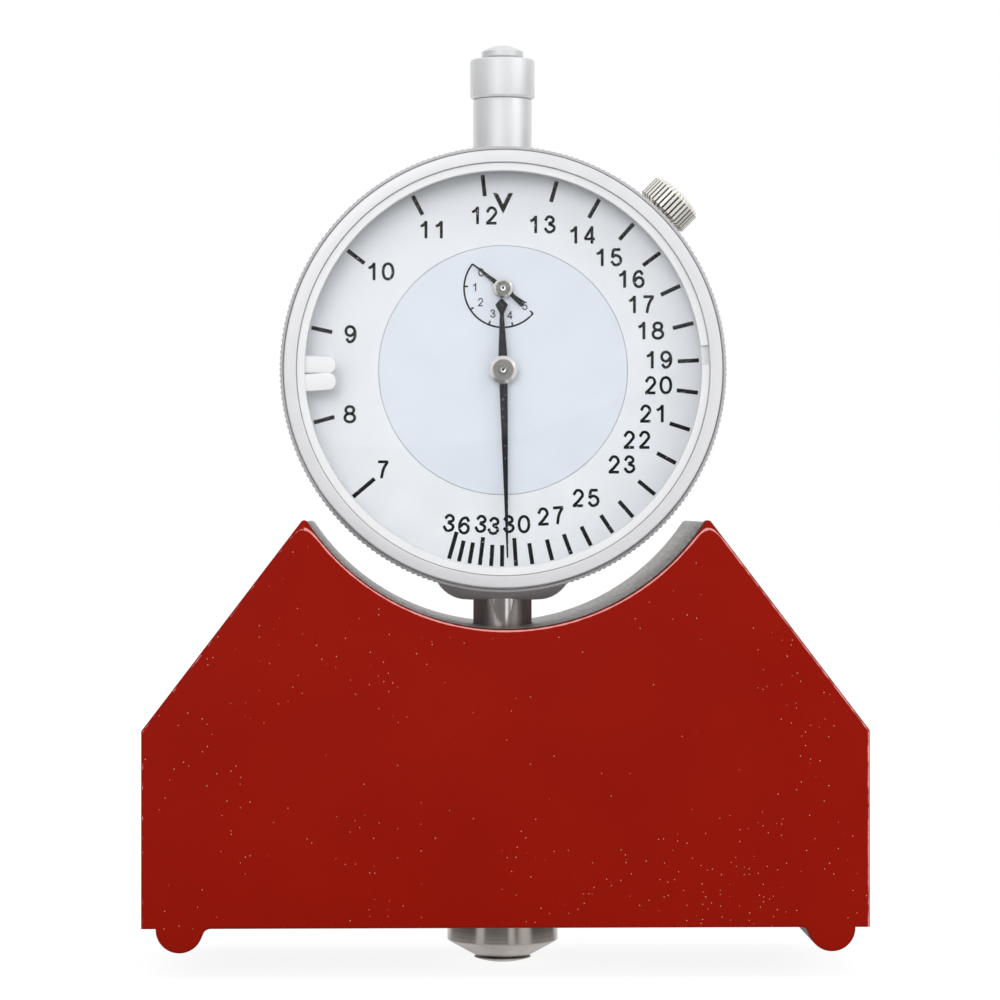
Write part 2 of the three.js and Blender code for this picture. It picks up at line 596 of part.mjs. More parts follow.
function addSpindle() {
  const teeth = rackShape();
  const blank = solidOf(turnedZ(rod(spindle.radius, spindleBottom, spindleTop), sides.stem));
  const flat = box(-spindle.radius - overrun, teeth.rootX, -spindle.radius, spindle.radius,
    teeth.bottom, teeth.top);
  const hole = spindle.shankRadius + slide;
  const deep = spindle.shankLength + spindle.shankRoom;
  const lowHole = turnedZ(rod(hole, spindleBottom - overrun, spindleBottom + deep), sides.stem);
  const topHole = turnedZ(rod(hole, spindleTop - deep, spindleTop + overrun), sides.stem);
  const pinHole = turnedZ(rod(guide.pinRadius + slide, guide.root - seat, spindle.radius + overrun),
    sides.arbor).rotateY(Math.PI / 2).translate(0, 0, guide.height);
  const filled = cut(blank, flat).add(solidOf(slab(teeth.shape, -rack.width / 2, rack.width / 2)));
  const round = solidOf(turnedZ(rod(spindle.radius, spindleBottom, spindleTop), sides.stem));
  place("spindle", cut(filled.intersect(round), lowHole, topHole, pinHole), looks.steel, gauge);

  const low = spindleBottom - seat;
  place("contact_point", turnedZ([
    [0, contactZ - gaugeZ],
    [contact.endRadius, contactZ - gaugeZ],
    [contact.radius, contactZ - gaugeZ + contact.endRise],
    [contact.radius, low],
    [spindle.shankRadius, low],
    [spindle.shankRadius, low + spindle.shankLength],
    [0, low + spindle.shankLength],
  ], sides.stem), looks.steel, gauge);

  const top = dome(button.radius, button.rise, button.steps, buttonBottom + button.edge + button.rise, 1);
  place("spindle_button", turnedZ([
    [0, buttonBottom - spindle.shankLength],
    [spindle.shankRadius, buttonBottom - spindle.shankLength],
    [spindle.shankRadius, buttonBottom],
    [button.radius, buttonBottom],
    ...top.reverse(),
  ], sides.stem), looks.satin, gauge);

  const pinEnd = spindle.radius + guide.room + guide.width + guide.tail;
  place("spindle_guide_pin", turnedZ(rod(guide.pinRadius, guide.root, pinEnd), sides.arbor)
    .rotateY(Math.PI / 2).translate(0, 0, guide.height), looks.steel, gauge);
}

// Teeth with flat tips and roots for the pinions, and plain V teeth for the wheels.
function pinionShape(teeth, turn) {
  const step = 360 / teeth;
  const top = pitchRadius(teeth) + toothModule * toothShares.addendum;
  const root = pitchRadius(teeth) - toothModule * toothShares.dedendum;
  const points = Array.from({ length: teeth }, (_, tooth) => turn + tooth * step).flatMap((middle) => [
    onCircle(root, middle - step * toothShares.root), onCircle(top, middle - step * toothShares.tip),
    onCircle(top, middle + step * toothShares.tip), onCircle(root, middle + step * toothShares.root),
  ]);
  return new THREE.Shape(points.map(([x, z]) => new THREE.Vector2(x, z)));
}

function wheelShape(turn) {
  const step = 360 / train.wheelTeeth;
  const top = pitchRadius(train.wheelTeeth) + toothModule * toothShares.vAddendum;
  const root = pitchRadius(train.wheelTeeth) - toothModule * toothShares.vDedendum;
  const points = Array.from({ length: train.wheelTeeth }, (_, tooth) => turn + tooth * step)
    .flatMap((middle) => [onCircle(root, middle - step / 2), onCircle(top, middle)]);
  return new THREE.Shape(points.map(([x, z]) => new THREE.Vector2(x, z)));
}

function wheel(turn, bore) {
  const shape = wheelShape(turn);
  const ring = new THREE.Path().absarc(0, 0, bore, 0, 2 * Math.PI, true);
  shape.holes.push(ring);
  for (let index = 0; index < train.windows; index += 1) {
    const [x, z] = onCircle(pitchRadius(train.wheelTeeth) * windowPlaceShare, (360 / train.windows) * index);
    shape.holes.push(new THREE.Path().absarc(x, z, train.windowRadius, 0, 2 * Math.PI, true));
  }
  return slab(shape, wheelY, wheelBackY, sides.arbor / 2);
}

function addGears() {
  // Directions from the centre pinion to the two wheels, and teeth that meet gaps there.
  const upward = 90;
  const toRack = THREE.MathUtils.radToDeg(Math.atan2(rackArborZ, rackArborX));
  const centreStep = 360 / train.centreTeeth;
  const wheelStep = 360 / train.wheelTeeth;
  const missed = (toRack - upward) / centreStep;
  const offset = (Math.round(missed) - missed) * centreStep;
  const ratio = train.centreTeeth / train.wheelTeeth;
  const pinionY = wheelY - train.pinionOverhang;
  const pinionBackY = wheelBackY + train.pinionOverhang;
  const centre = join(
    slab(pinionShape(train.centreTeeth, upward), pinionY, pinionBackY),
    turnedY(rod(train.arborRadius, largeHubY + seat * 2, rearPlateBackY), sides.arbor),
  );
  place("centre_pinion", centre, looks.steel, gauge);

  const takeupTurn = upward + 180 + wheelStep / 2;
  place("takeup_gear", wheel(takeupTurn, train.arborRadius + slide).translate(0, 0, axisDistance),
    looks.brass, gauge);
  place("takeup_arbor", turnedY(rod(train.arborRadius, smallHubY + seat * 2, rearPlateBackY), sides.arbor)
    .translate(0, 0, axisDistance), looks.steel, gauge);

  const rackWheelTurn = toRack + 180 - offset * ratio + wheelStep / 2;
  place("rack_gear", wheel(rackWheelTurn, train.rackArborRadius + slide)
    .translate(rackArborX, 0, rackArborZ), looks.brass, gauge);
  const rackPinion = join(
    slab(pinionShape(train.rackPinionTeeth, 0), -rack.width / 2, rack.width / 2),
    turnedY(rod(train.rackArborRadius, frontPlateY, bridgeBackY), sides.arbor),
  );
  place("rack_pinion", geometryOf(rackPinion).translate(rackArborX, 0, rackArborZ), looks.steel, gauge);
}

function addMovement() {
  const plateRadius = caseBore - movement.edgeRoom;
  const pillars = pillar.places.map((degrees) => onCircle(pillarCircle, degrees));
  const arborHole = train.arborRadius + slide;
  const rackHole = train.rackArborRadius + slide;
  const hole = (radius, x, z) => turnedY(rod(radius, flangeY, overrun), sides.arbor).translate(x, 0, z);
  const holes = [
    hole(arborHole, 0, 0), hole(arborHole, 0, axisDistance), hole(rackHole, rackArborX, rackArborZ),
    ...pillars.map(([x, z]) => hole(pillar.neckRadius + slide, x, z)),
  ];
  const disc = (front, back) => solidOf(turnedY(rod(plateRadius, front, back), sides.bezel));
  place("front_movement_plate", cut(disc(frontPlateY, frontPlateBackY), ...holes), looks.brass, gauge);
  place("rear_movement_plate", cut(disc(rearPlateY, rearPlateBackY), ...holes), looks.brass, gauge);
  pillars.forEach(([x, z], index) => {
    place("pillar_" + (index + 1), turnedY([
      [0, flangeY + seat], [pillar.neckRadius, flangeY + seat], [pillar.neckRadius, frontPlateBackY + seat],
      [pillar.radius, frontPlateBackY + seat], [pillar.radius, rearPlateY - seat],
      [pillar.neckRadius, rearPlateY - seat], [pillar.neckRadius, rearPlateBackY], [0, rearPlateBackY],
    ], sides.arbor).translate(x, 0, z), looks.brass, gauge);
  });

  const right = rackArborX + bridge.margin;
  const left = -bridge.postX - bridge.postRadius;
  const top = rackArborZ + bridge.reach + bridge.postRadius;
  const bottom = rackArborZ - bridge.reach - bridge.postRadius;
  const posts = [-1, 1].map((side) =>
    turnedY(rod(bridge.postRadius, rearPlateBackY + seat, bridgeBackY), sides.arbor)
      .translate(-bridge.postX, 0, rackArborZ + side * bridge.reach));
  const web = box(left, right, bridgeY, bridgeBackY, bottom, top);
  place("rack_bridge", cut(join(web, ...posts), turnedY(
    rod(rackHole, bridgeY - overrun, bridgeBackY + overrun), sides.arbor,
  ).translate(rackArborX, 0, rackArborZ)), looks.brass, gauge);
}

function addGuide() {
  const near = spindle.radius + guide.room;
  const far = near + guide.width;
  const slot = guide.pinRadius + slide;
  const low = guide.height - guide.pinRadius - seat;
  const high = guide.height + travel + guide.pinRadius + seat;
  const block = solidOf(box(near, far, rearPlateBackY + seat, slot + guide.wall,
    low - guide.wall, high + guide.wall));
  const channel = box(near - overrun, far + overrun, -slot, slot, low, high);
  place("spindle_guide", cut(block, channel), looks.brass, gauge);

  const springX = far + guide.tail / 2;
  const springTop = guide.height - guide.pinRadius - returnSpring.gap;
  const springBottom = springTop - returnSpring.length;
  const postZ = springBottom - returnSpring.gap - returnSpring.postRadius;
  place("return_spring", coil(returnSpring.radius, returnSpring.wire, springBottom, springTop,
    returnSpring.turns, coilSteps.thinRound, coilSteps.thinWire).translate(springX, 0, 0),
  looks.spring, gauge);
  place("return_spring_post", turnedY(
    rod(returnSpring.postRadius, rearPlateBackY + seat, returnSpring.postEnd), sides.arbor,
  ).translate(springX, 0, postZ), looks.steel, gauge);
}

// A flat spiral of thin strip round the take-up arbor.
function addHairspring() {
  const steps = hairspring.turns * sides.screw;
  const edge = (extra) => Array.from({ length: steps + 1 }, (_, step) => {
    const turns = step / sides.screw;
    const [x, z] = onCircle(hairspring.inner + extra + hairspring.pitch * turns, 360 * turns);
    return new THREE.Vector2(x, z);
  });
  const strip = new THREE.Shape([...edge(hairspring.thickness), ...edge(0).reverse()]);
  const middle = (rearPlateY + wheelBackY) / 2;
  place("hairspring", slab(strip, middle - hairspring.height / 2, middle + hairspring.height / 2)
    .translate(0, 0, axisDistance), looks.bronze, gauge);
}

function addDial() {
  place("dial_ring", turnedY(
    tube(dial.discRadius + dial.split, bezelBore - turning, dialY, dialBackY), sides.bezel),
  looks.white, gauge);
  const disc = solidOf(turnedY([
    [0, dialY], [dial.discRadius, dialY], [dial.discRadius, dialBackY],
    [dial.spacerRadius, dialBackY], [dial.spacerRadius, flangeBackY], [0, flangeBackY],
  ], sides.bezel));
  const hole = () => turnedY(rod(dial.holeRadius, dialY - overrun, flangeBackY + overrun), sides.arbor);
  place("inner_dial", cut(disc, hole(), hole().translate(0, 0, axisDistance)), looks.disc, gauge);
}

function addBezel() {
  place("bezel", turnedY([
    [lipRadius, bezelY],
    [bezelRadius - bezel.edge, bezelY],
    [bezelRadius, bezelY + bezel.edge],
    [bezelRadius, bezelY + bezel.frontBand - bezel.edge],
    [knurlRadius, bezelY + bezel.frontBand],
    [knurlRadius, knurlBackY],
    [knurlRadius - bezel.skirt, knurlBackY + bezel.edge],
    [knurlRadius - bezel.skirt, collarBackY],
    [bezelBore, collarBackY],
    [bezelBore, glassBackY + seat],
    [grooveRadius, glassBackY + seat],
    [grooveRadius, lipBackY],
    [lipRadius, lipBackY],
  ], sides.bezel), looks.satin, gauge);
  place("crystal", turnedY(rod(glassRadius, glassY, glassBackY), sides.bezel), looks.glass, gauge);
}

// One ring of the two limit markers: a split spring ring with a rounded tab that reaches in over the dial.
function limitShape(side) {
  const inner = glassRadius - limit.width;
  const tabEnd = inner - limit.tabLength;
  const tabHalf = limit.tabWidth / 2;
  const tabAngle = Math.PI + radians(limit.tilt - side * limit.apart / 2);
  const gapHalf = radians(limit.split / 2);
  const gapAt = tabAngle - Math.PI;
  const halfTurn = Math.asin(tabHalf / inner);
  const shape = new THREE.Shape();
  const tabPoint = (along, across) => [
    along * Math.cos(tabAngle) - across * Math.sin(tabAngle),
    along * Math.sin(tabAngle) + across * Math.cos(tabAngle),
  ];
  const first = gapAt + gapHalf;
  const last = gapAt + 2 * Math.PI - gapHalf;
  shape.moveTo(glassRadius * Math.cos(first), glassRadius * Math.sin(first));
  shape.absarc(0, 0, glassRadius, first, last, false);
  shape.absarc(0, 0, inner, last, tabAngle + halfTurn, true);
  const corner = tabHalf / 2;
  shape.lineTo(...tabPoint(tabEnd + corner, tabHalf));
  shape.quadraticCurveTo(...tabPoint(tabEnd, tabHalf), ...tabPoint(tabEnd, 0));
  shape.quadraticCurveTo(...tabPoint(tabEnd, -tabHalf), ...tabPoint(tabEnd + corner, -tabHalf));
  shape.absarc(0, 0, inner, tabAngle - halfTurn, first, true);
  return shape;
}

function addLimits() {
  place("limit_ring_front", slab(limitShape(-1), frontLimitY, frontLimitBackY, sides.bezel / 4),
    looks.white, gauge);
  place("limit_ring_rear", slab(limitShape(1), rearLimitY, rearLimitBackY, sides.bezel / 4),
    looks.white, gauge);
}

function addLock() {
  const start = lockBossEnd + seat;
  const base = start + lock.collar;
  const top = base + lock.length;
  const cap = dome(lock.domeRadius, lock.dome, button.steps, top + lock.dome, 1);
  place("lock_knob", alongLock(turnedZ([
    [0, lockBossEnd - lock.shankDepth],
    [lock.shankRadius, lockBossEnd - lock.shankDepth],
    [lock.shankRadius, start],
    [lock.collarRadius, start],
    [lock.collarRadius, base],
    [lock.radius, base],
    [lock.radius, top],
    ...cap.reverse(),
  ], sides.stem)), looks.nickel, gauge);
}

// A hand that points up, with a round eye for its hub, turned clockwise as seen from the front.
function hand(outline, eye, bore, front, back, angle) {
  const shape = new THREE.Shape(outline.map(([x, z]) => new THREE.Vector2(x, z)));
  const blade = slab(shape, front, back);
  const ring = turnedY(rod(eye, front, back), sides.hub);
  const hole = turnedY(rod(bore, front - overrun, back + overrun), sides.hub);
  return geometryOf(cut(join(blade, ring), hole)).rotateY(radians(angle));
}

const mirrored = (half) => [
  ...half, ...half.filter(([x]) => x > 0).map(([x, z]) => [-x, z]).reverse(),
];

function addHands() {
  const long = bezelBore - largeHand.tipGap;
  const largeNeck = train.arborRadius + slide + largeHub.neckWall;
  const h = largeHand;
  const largeOutline = mirrored([
    [h.tailWidth / 2, -h.tail], [h.spade / 2, -h.spadeAt], [h.neck / 2, -h.neckAt],
    [h.tailRoot / 2, -h.tailRootAt], [h.rootWidth / 2, 0], [h.tipWidth / 2, long],
  ]);
  place("large_hand", hand(largeOutline, h.eyeRadius, largeNeck + slide, largeHandY, largeHandBackY, h.angle),
    looks.black, gauge);
  place("large_hand_hub", turnedY([
    [train.arborRadius + slide, largeHubY], [largeHub.face, largeHubY],
    [largeHub.radius, largeHubY + largeHub.bevel], [largeHub.radius, largeHubY + largeHub.head],
    [largeNeck, largeHubY + largeHub.head], [largeNeck, largeHubY + largeHub.neckLength],
    [train.arborRadius + slide, largeHubY + largeHub.neckLength],
  ], sides.hub), looks.nickel, gauge);

  const s = smallHand;
  const smallNeck = train.arborRadius + slide + smallHub.neckWall;
  const smallOutline = mirrored([
    [s.tailWidth / 2, -s.tail], [s.neck / 2, -s.eyeRadius], [s.rootWidth / 2, 0], [s.tipWidth / 2, s.length],
  ]);
  place("small_hand", hand(smallOutline, s.eyeRadius, smallNeck + slide, smallHandY, smallHandBackY, s.angle)
    .translate(0, 0, axisDistance), looks.black, gauge);
  place("small_hand_hub", turnedY([
    [train.arborRadius + slide, smallHubY], [smallHub.face, smallHubY],
    [smallHub.radius, smallHubY + smallHub.bevel], [smallHub.radius, smallHubY + smallHub.head],
    [smallNeck, smallHubY + smallHub.head], [smallNeck, smallHubBackY],
    [train.arborRadius + slide, smallHubBackY],
  ], sides.hub).translate(0, 0, axisDistance), looks.nickel, gauge);
}

addBlock();
addFrontPlate();
addStemScrew();
addPlunger();
addCase();
addCover();
addStem();
addSpindle();
addGears();
addMovement();
addGuide();
addHairspring();
addDial();
addBezel();
addLimits();
addLock();
addHands();

export default meter;
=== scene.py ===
# %% [markdown]
# # A screen tension meter
# Screen printers stand this meter on a stretched mesh. A sprung plunger under the block feels how far the mesh
# gives, and the dial gauge above it shows the tension. The CAD model is loaded first: it fixes where each piece
# is and how it moves. Each piece then gets its fine shape and its finish in that same place. Blender works in
# metres, so the sizes below are written in millimetres and multiplied by MM.

import json
import math

import bmesh
import bpy
from mathutils import Matrix, Vector


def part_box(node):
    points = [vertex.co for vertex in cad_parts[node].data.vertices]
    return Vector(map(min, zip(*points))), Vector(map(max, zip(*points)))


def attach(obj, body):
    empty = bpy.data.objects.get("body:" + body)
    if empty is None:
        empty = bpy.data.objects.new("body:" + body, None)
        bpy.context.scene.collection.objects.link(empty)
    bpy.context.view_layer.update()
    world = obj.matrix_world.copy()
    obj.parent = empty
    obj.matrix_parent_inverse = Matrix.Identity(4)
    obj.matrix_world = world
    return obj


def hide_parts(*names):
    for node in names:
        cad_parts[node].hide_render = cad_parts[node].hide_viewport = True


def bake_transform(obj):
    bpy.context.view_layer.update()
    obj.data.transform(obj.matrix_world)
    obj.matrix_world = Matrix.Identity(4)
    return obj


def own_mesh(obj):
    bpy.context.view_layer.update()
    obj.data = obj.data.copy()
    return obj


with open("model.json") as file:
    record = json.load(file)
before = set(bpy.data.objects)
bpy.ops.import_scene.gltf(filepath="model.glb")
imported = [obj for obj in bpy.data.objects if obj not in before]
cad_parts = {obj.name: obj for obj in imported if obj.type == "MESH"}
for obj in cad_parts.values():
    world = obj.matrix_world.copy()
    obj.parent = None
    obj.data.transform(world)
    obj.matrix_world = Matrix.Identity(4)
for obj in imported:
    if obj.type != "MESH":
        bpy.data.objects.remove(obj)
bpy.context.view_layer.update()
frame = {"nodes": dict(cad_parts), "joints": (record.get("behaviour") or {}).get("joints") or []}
nodes = frame["nodes"]
scene = bpy.context.scene
scene.view_settings.view_transform = "Standard"
MM = 0.001

# %% [markdown]
# ## Camera
# A product photograph is taken with a long lens, so upright sides stay upright. The camera stands almost
# straight in front, and looks at the red plate from half a metre.

# %% Camera
lens = bpy.data.cameras.new("camera")
lens.lens = 130.0
lens.clip_start = 0.01
camera = bpy.data.objects.new("camera", lens)
camera.location = (-0.0139, -0.494, 0.0625)
target = Vector((-0.00086, -0.019, 0.06307))
camera.rotation_euler = (target - camera.location).to_track_quat("-Z", "Y").to_euler()
scene.collection.objects.link(camera)
scene.camera = camera
print("camera to target in mm:", round((target - camera.location).length / MM))

# %% [markdown]
# ## Building shader graphs
# A material is a graph of nodes. A few helpers add a node with its inputs, blend two colours, do a sum or
# stretch a range, so that each graph below reads as a short list. An effect that is used more than once becomes
# a group, a graph with its own inputs and one output.


# %% Node helpers
def feed(node, values):
    """Gives each input, by name or number, a value or the socket that feeds it."""
    for key, value in values.items():
        if isinstance(value, bpy.types.NodeSocket):
            node.id_data.links.new(value, node.inputs[key])
        else:
            node.inputs[key].default_value = value


def add(tree, kind, inputs=None, **settings):
    """Adds a shader node with its settings, and feeds its inputs."""
    made = tree.nodes.new("ShaderNode" + kind)
    for setting, value in settings.items():
        setattr(made, setting, value)
    feed(made, inputs or {})
    return made


def mix(tree, factor, first, second):
    """Blends from the first colour to the second."""
    return add(tree, "Mix", {0: factor, 6: first, 7: second}, data_type="RGBA").outputs[2]


def math_node(tree, operation, *values, clamp=False):
    """Does a sum with one, two or three values."""
    return add(tree, "Math", dict(enumerate(values)), operation=operation, use_clamp=clamp).outputs[0]


def remap(tree, value, low=0.0, high=1.0, first=0.0, last=1.0, **settings):
    """Carries the range from low to high over to first and last, and holds the value at both ends."""
    return add(tree, "MapRange", {0: value, 1: low, 2: high, 3: first, 4: last}, **settings).outputs[0]


def length_of(tree, vector):
    return add(tree, "VectorMath", {0: vector}, operation="LENGTH").outputs["Value"]


def grey(level):
    return (level, level, level, 1)


# %% Group helpers
def new_group(name, inputs, output):
    """Starts a group and returns it with its input sockets and its output socket."""
    group = bpy.data.node_groups.new(name, "ShaderNodeTree")
    for label, value in inputs.items():
        kind = "NodeSocketVector" if value is None else "NodeSocketFloat"
        socket = group.interface.new_socket(label, in_out="INPUT", socket_type=kind)
        if value is not None:
            socket.default_value = value
    group.interface.new_socket(output, in_out="OUTPUT", socket_type="NodeSocketFloat")
    return group, group.nodes.new("NodeGroupInput").outputs, group.nodes.new("NodeGroupOutput").inputs[0]


def use(tree, group, **inputs):
    """Places a group in a graph, and returns its output."""
    return add(tree, "Group", inputs, node_tree=group).outputs[0]


# %% [markdown]
# ## Studio
# Bright metal is only as good as what it reflects. The room is white behind the object, as in the photograph,
# and darker round the camera, with a few bright strips like softboxes. Glossy rays see that room, and matt
# surfaces get one plain level from all sides, so each colour renders about as it is written. The strips are a
# group, because the floor reflects them too.

# %% Softbox strips
softboxes, given, result = new_group("softboxes", {"Vector": None}, "Level")
direction = add(softboxes, "SeparateXYZ", {0: given[0]}).outputs
azimuth = math_node(softboxes, "ARCTAN2", direction[0], math_node(softboxes, "MULTIPLY", direction[1], -1.0))
around = remap(softboxes, azimuth, -math.pi, math.pi)
walls = add(softboxes, "ValToRGB", {0: around})
strips = [
    (-180, 1.0), (-138, 1.0), (-120, 0.2), (-64, 0.07), (-56, 0.1), (-50, 1.0), (-40, 1.0), (-34, 0.22),
    (-12, 0.18), (8, 0.2), (12, 1.0), (18, 1.0), (25, 0.2), (36, 1.0), (50, 1.0), (59, 0.1), (118, 0.12),
    (134, 1.0), (180, 1.0),
]
stops = walls.color_ramp.elements
stops[0].position, stops[0].color = 0.0, grey(1.0)
stops[1].position, stops[1].color = 1.0, grey(1.0)
for degrees, level in strips[1:-1]:
    stops.new((degrees + 180) / 360).color = grey(level)
softboxes.links.new(walls.outputs[0], result)
print("room strips:", len(strips))


# %% Room
def seen_straight(tree, path):
    """A mask for the rays that come from the camera itself, also through glass."""
    return math_node(tree, "ADD", path["Is Camera Ray"], path["Is Transmission Ray"], clamp=True)


MATT_LIGHT = 0.83
room = bpy.data.worlds.new("studio")
scene.world = room
room.use_nodes = True
tree = room.node_tree
tree.nodes.clear()
place = add(tree, "TexCoord").outputs["Generated"]
height = add(tree, "SeparateXYZ", {0: place}).outputs["Z"]
ceiling = remap(tree, height, 0.3, 0.7, interpolation_type="SMOOTHSTEP")
mirrored = mix(tree, ceiling, use(tree, softboxes, Vector=place), grey(1.0))
path = add(tree, "LightPath").outputs
seen = mix(tree, path["Is Glossy Ray"], grey(MATT_LIGHT), mirrored)
sky = add(tree, "Background", {"Color": mix(tree, seen_straight(tree, path), seen, grey(1.0))})
add(tree, "OutputWorld", {"Surface": sky.outputs[0]})
print("world:", room.name)

# %% [markdown]
# Three area lamps give the light its direction: a key from the upper left in front, one nearer the camera that
# keeps the bezel's shadow on the dial narrow, and one from the right that reaches the saddle. The front lamp
# would stand in the crystal as a white patch, so mirrors don't show it.


# %% Lamps
def lamp(name, place, aim, size, power, mirrored=True):
    light = bpy.data.lights.new(name, "AREA")
    light.shape = "DISK"
    light.size = size
    light.energy = power
    holder = bpy.data.objects.new(name, light)
    holder.visible_glossy = mirrored
    holder.location = place
    holder.rotation_euler = (Vector(aim) - Vector(place)).to_track_quat("-Z", "Y").to_euler()
    scene.collection.objects.link(holder)
    print(name, "at", round((Vector(aim) - Vector(place)).length, 2), "m")


lamp("key_lamp", (-0.27, -0.83, 0.38), (0, 0, 0.06), 0.5, 1.1)
lamp("front_lamp", (-0.05, -0.9, 0.28), (0, 0, 0.08), 0.4, 0.75, mirrored=False)
lamp("side_lamp", (0.6, -0.3, 0.45), (0, 0, 0.06), 0.5, 1.0)

# %% [markdown]
# The floor looks as white as the background. To a camera it glows faintly, so that only the soft shadow of the
# object shows on it. Metal near the floor mirrors the room's strips in it.

# %% Floor
floor_look = bpy.data.materials.new("studio_floor")
floor_look.use_nodes = True
tree = floor_look.node_tree
tree.nodes.clear()
place = add(tree, "TexCoord").outputs["Object"]
path = add(tree, "LightPath").outputs
matt = add(tree, "BsdfDiffuse", {"Color": grey(0.8)})
faint = add(tree, "BsdfDiffuse", {"Color": grey(0.2)})
glow = add(tree, "Emission", {"Color": grey(0.88)})
bright = add(tree, "AddShader", {0: faint.outputs[0], 1: glow.outputs[0]})
under = remap(tree, length_of(tree, place), 0.05, 0.02)
strips_below = mix(tree, under, use(tree, softboxes, Vector=place), grey(0.8))
mirrored = add(tree, "Emission", {"Color": strips_below})
either = add(tree, "MixShader", {0: seen_straight(tree, path), 1: matt.outputs[0], 2: bright.outputs[0]})
either = add(tree, "MixShader", {0: path["Is Glossy Ray"], 1: either.outputs[0], 2: mirrored.outputs[0]})
add(tree, "OutputMaterial", {"Surface": either.outputs[0]})

floor_shape = bmesh.new()
bmesh.ops.create_grid(floor_shape, x_segments=1, y_segments=1, size=2)
floor_mesh = bpy.data.meshes.new("floor")
floor_shape.to_mesh(floor_mesh)
floor_shape.free()
floor_mesh.materials.append(floor_look)
floor = bpy.data.objects.new("floor", floor_mesh)
scene.collection.objects.link(floor)
print("floor:", [round(side, 1) for side in floor.dimensions], "m")

# %% [markdown]
# ## Shader node groups
# Five effects appear in the finishes, so each is a group, built once. Mottle is a soft cloud that keeps a
# surface from looking flat. Turning makes the fine lines that a lathe leaves: they change with the distance
# from the axis and along it, never round it. Specks are single small flecks, one in some of the cells of a
# Voronoi pattern. A ragged edge breaks up the edge of a mask with noise, here a line of scuffed paint and painted
# highlight. A ring mask picks out what lies between two distances from an axis.

# %% Mottle and turning
mottle, given, result = new_group("mottle", {"Vector": None, "Scale": 200.0, "Detail": 4.0}, "Value")
cloud = add(mottle, "TexNoise", {"Vector": given[0], "Scale": given[1], "Detail": given[2]})
mottle.links.new(remap(mottle, cloud.outputs[0], 0.3, 0.7), result)

turning, given, result = new_group("turning", {"Vector": None, "Scale": 4000.0}, "Height")
spot = add(turning, "SeparateXYZ", {0: given[0]}).outputs
sideways = add(turning, "CombineXYZ", {0: spot[0], 1: spot[1]}).outputs[0]
unrolled = add(turning, "CombineXYZ", {0: length_of(turning, sideways), 1: spot[2]}).outputs[0]
lines = add(turning, "TexNoise", {"Vector": unrolled, "Scale": given[1], "Detail": 2.0})
turning.links.new(lines.outputs[0], result)
print("groups:", mottle.name, turning.name)

# %% Specks and ragged edge
specks, given, result = new_group("specks", {"Vector": None, "Scale": 500.0, "Size": 0.1, "Share": 0.1}, "Mask")
cells = add(specks, "TexVoronoi", {"Vector": given[0], "Scale": given[1]})
lot = add(specks, "SeparateXYZ", {0: cells.outputs["Color"]}).outputs[0]
chosen = math_node(specks, "LESS_THAN", lot, given[3])
small = math_node(specks, "LESS_THAN", cells.outputs["Distance"], given[2])
specks.links.new(math_node(specks, "MULTIPLY", chosen, small), result)

ragged_edge, given, result = new_group("ragged_edge", {"Edge": 0.0, "Vector": None, "Scale": 900.0, "Bite": 0.6}, "Mask")
rough_edge = add(ragged_edge, "TexNoise", {"Vector": given[1], "Scale": given[2], "Detail": 5.0})
broken = math_node(ragged_edge, "SUBTRACT", rough_edge.outputs[0], 0.5)
broken = math_node(ragged_edge, "MULTIPLY_ADD", broken, given[3], given[0])
ragged_edge.links.new(remap(ragged_edge, broken, 0.45, 0.55, interpolation_type="SMOOTHSTEP"), result)
print("groups:", specks.name, ragged_edge.name)

# %% Ring mask
given = {"Vector": None, "Inner": 0.001, "Outer": 0.002, "Blur": 0.00005}
ring_mask, given, result = new_group("ring_mask", given, "Mask")
spot = add(ring_mask, "SeparateXYZ", {0: given[0]}).outputs
sideways = add(ring_mask, "CombineXYZ", {0: spot[0], 1: spot[1]}).outputs[0]
radius = length_of(ring_mask, sideways)
past_inner = math_node(ring_mask, "SUBTRACT", radius, given[1])
before_outer = math_node(ring_mask, "SUBTRACT", given[2], radius)
nearer = math_node(ring_mask, "MINIMUM", past_inner, before_outer)
share = math_node(ring_mask, "DIVIDE", nearer, given[3])
ring_mask.links.new(math_node(ring_mask, "MULTIPLY_ADD", share, 0.5, 0.5, clamp=True), result)
print("group:", ring_mask.name)

# %% [markdown]
# ## Places
# The gauge is turned about one degree in its clamp, and most of its pieces turn about its depth. So a piece is
# modelled round the z axis at the origin, and a matrix then carries it to its place. The same matrix centres
# the pattern of its material, through a Mapping node.


# %% Gauge place
def shift(x, y, z):
    """A move, given in millimetres."""
    return Matrix.Translation((x * MM, y * MM, z * MM))


def turn(degrees, axis):
    return Matrix.Rotation(math.radians(degrees), 4, axis)


AXIS_DISTANCE = 10.942
joints = {joint["name"]: joint for joint in frame["joints"]}
centre, axis = Vector(joints["centre_spin"]["pos_m"]), joints["centre_spin"]["axis"]
gauge = Matrix.Translation(centre) @ Matrix.Rotation(-math.atan2(axis[0], axis[1]), 4, "Z")
lengthways = turn(-90, "X")
gauge_axis = gauge @ lengthways
small_axis = gauge @ shift(0, 0, AXIS_DISTANCE) @ lengthways
print("gauge turned by", round(math.degrees(gauge.to_euler().z), 2), "degrees")

# %% [markdown]
# ## Finishes
# Metals differ in colour and in how rough they are. The colour varies by a few per cent, and a shallow bump
# follows the lathe's lines where a piece was turned.


# %% Finish helpers
def new_look(name):
    """Starts a material, and returns it with its graph and its shader."""
    made = bpy.data.materials.new(name)
    made.use_nodes = True
    return made, made.node_tree, made.node_tree.nodes["Principled BSDF"]


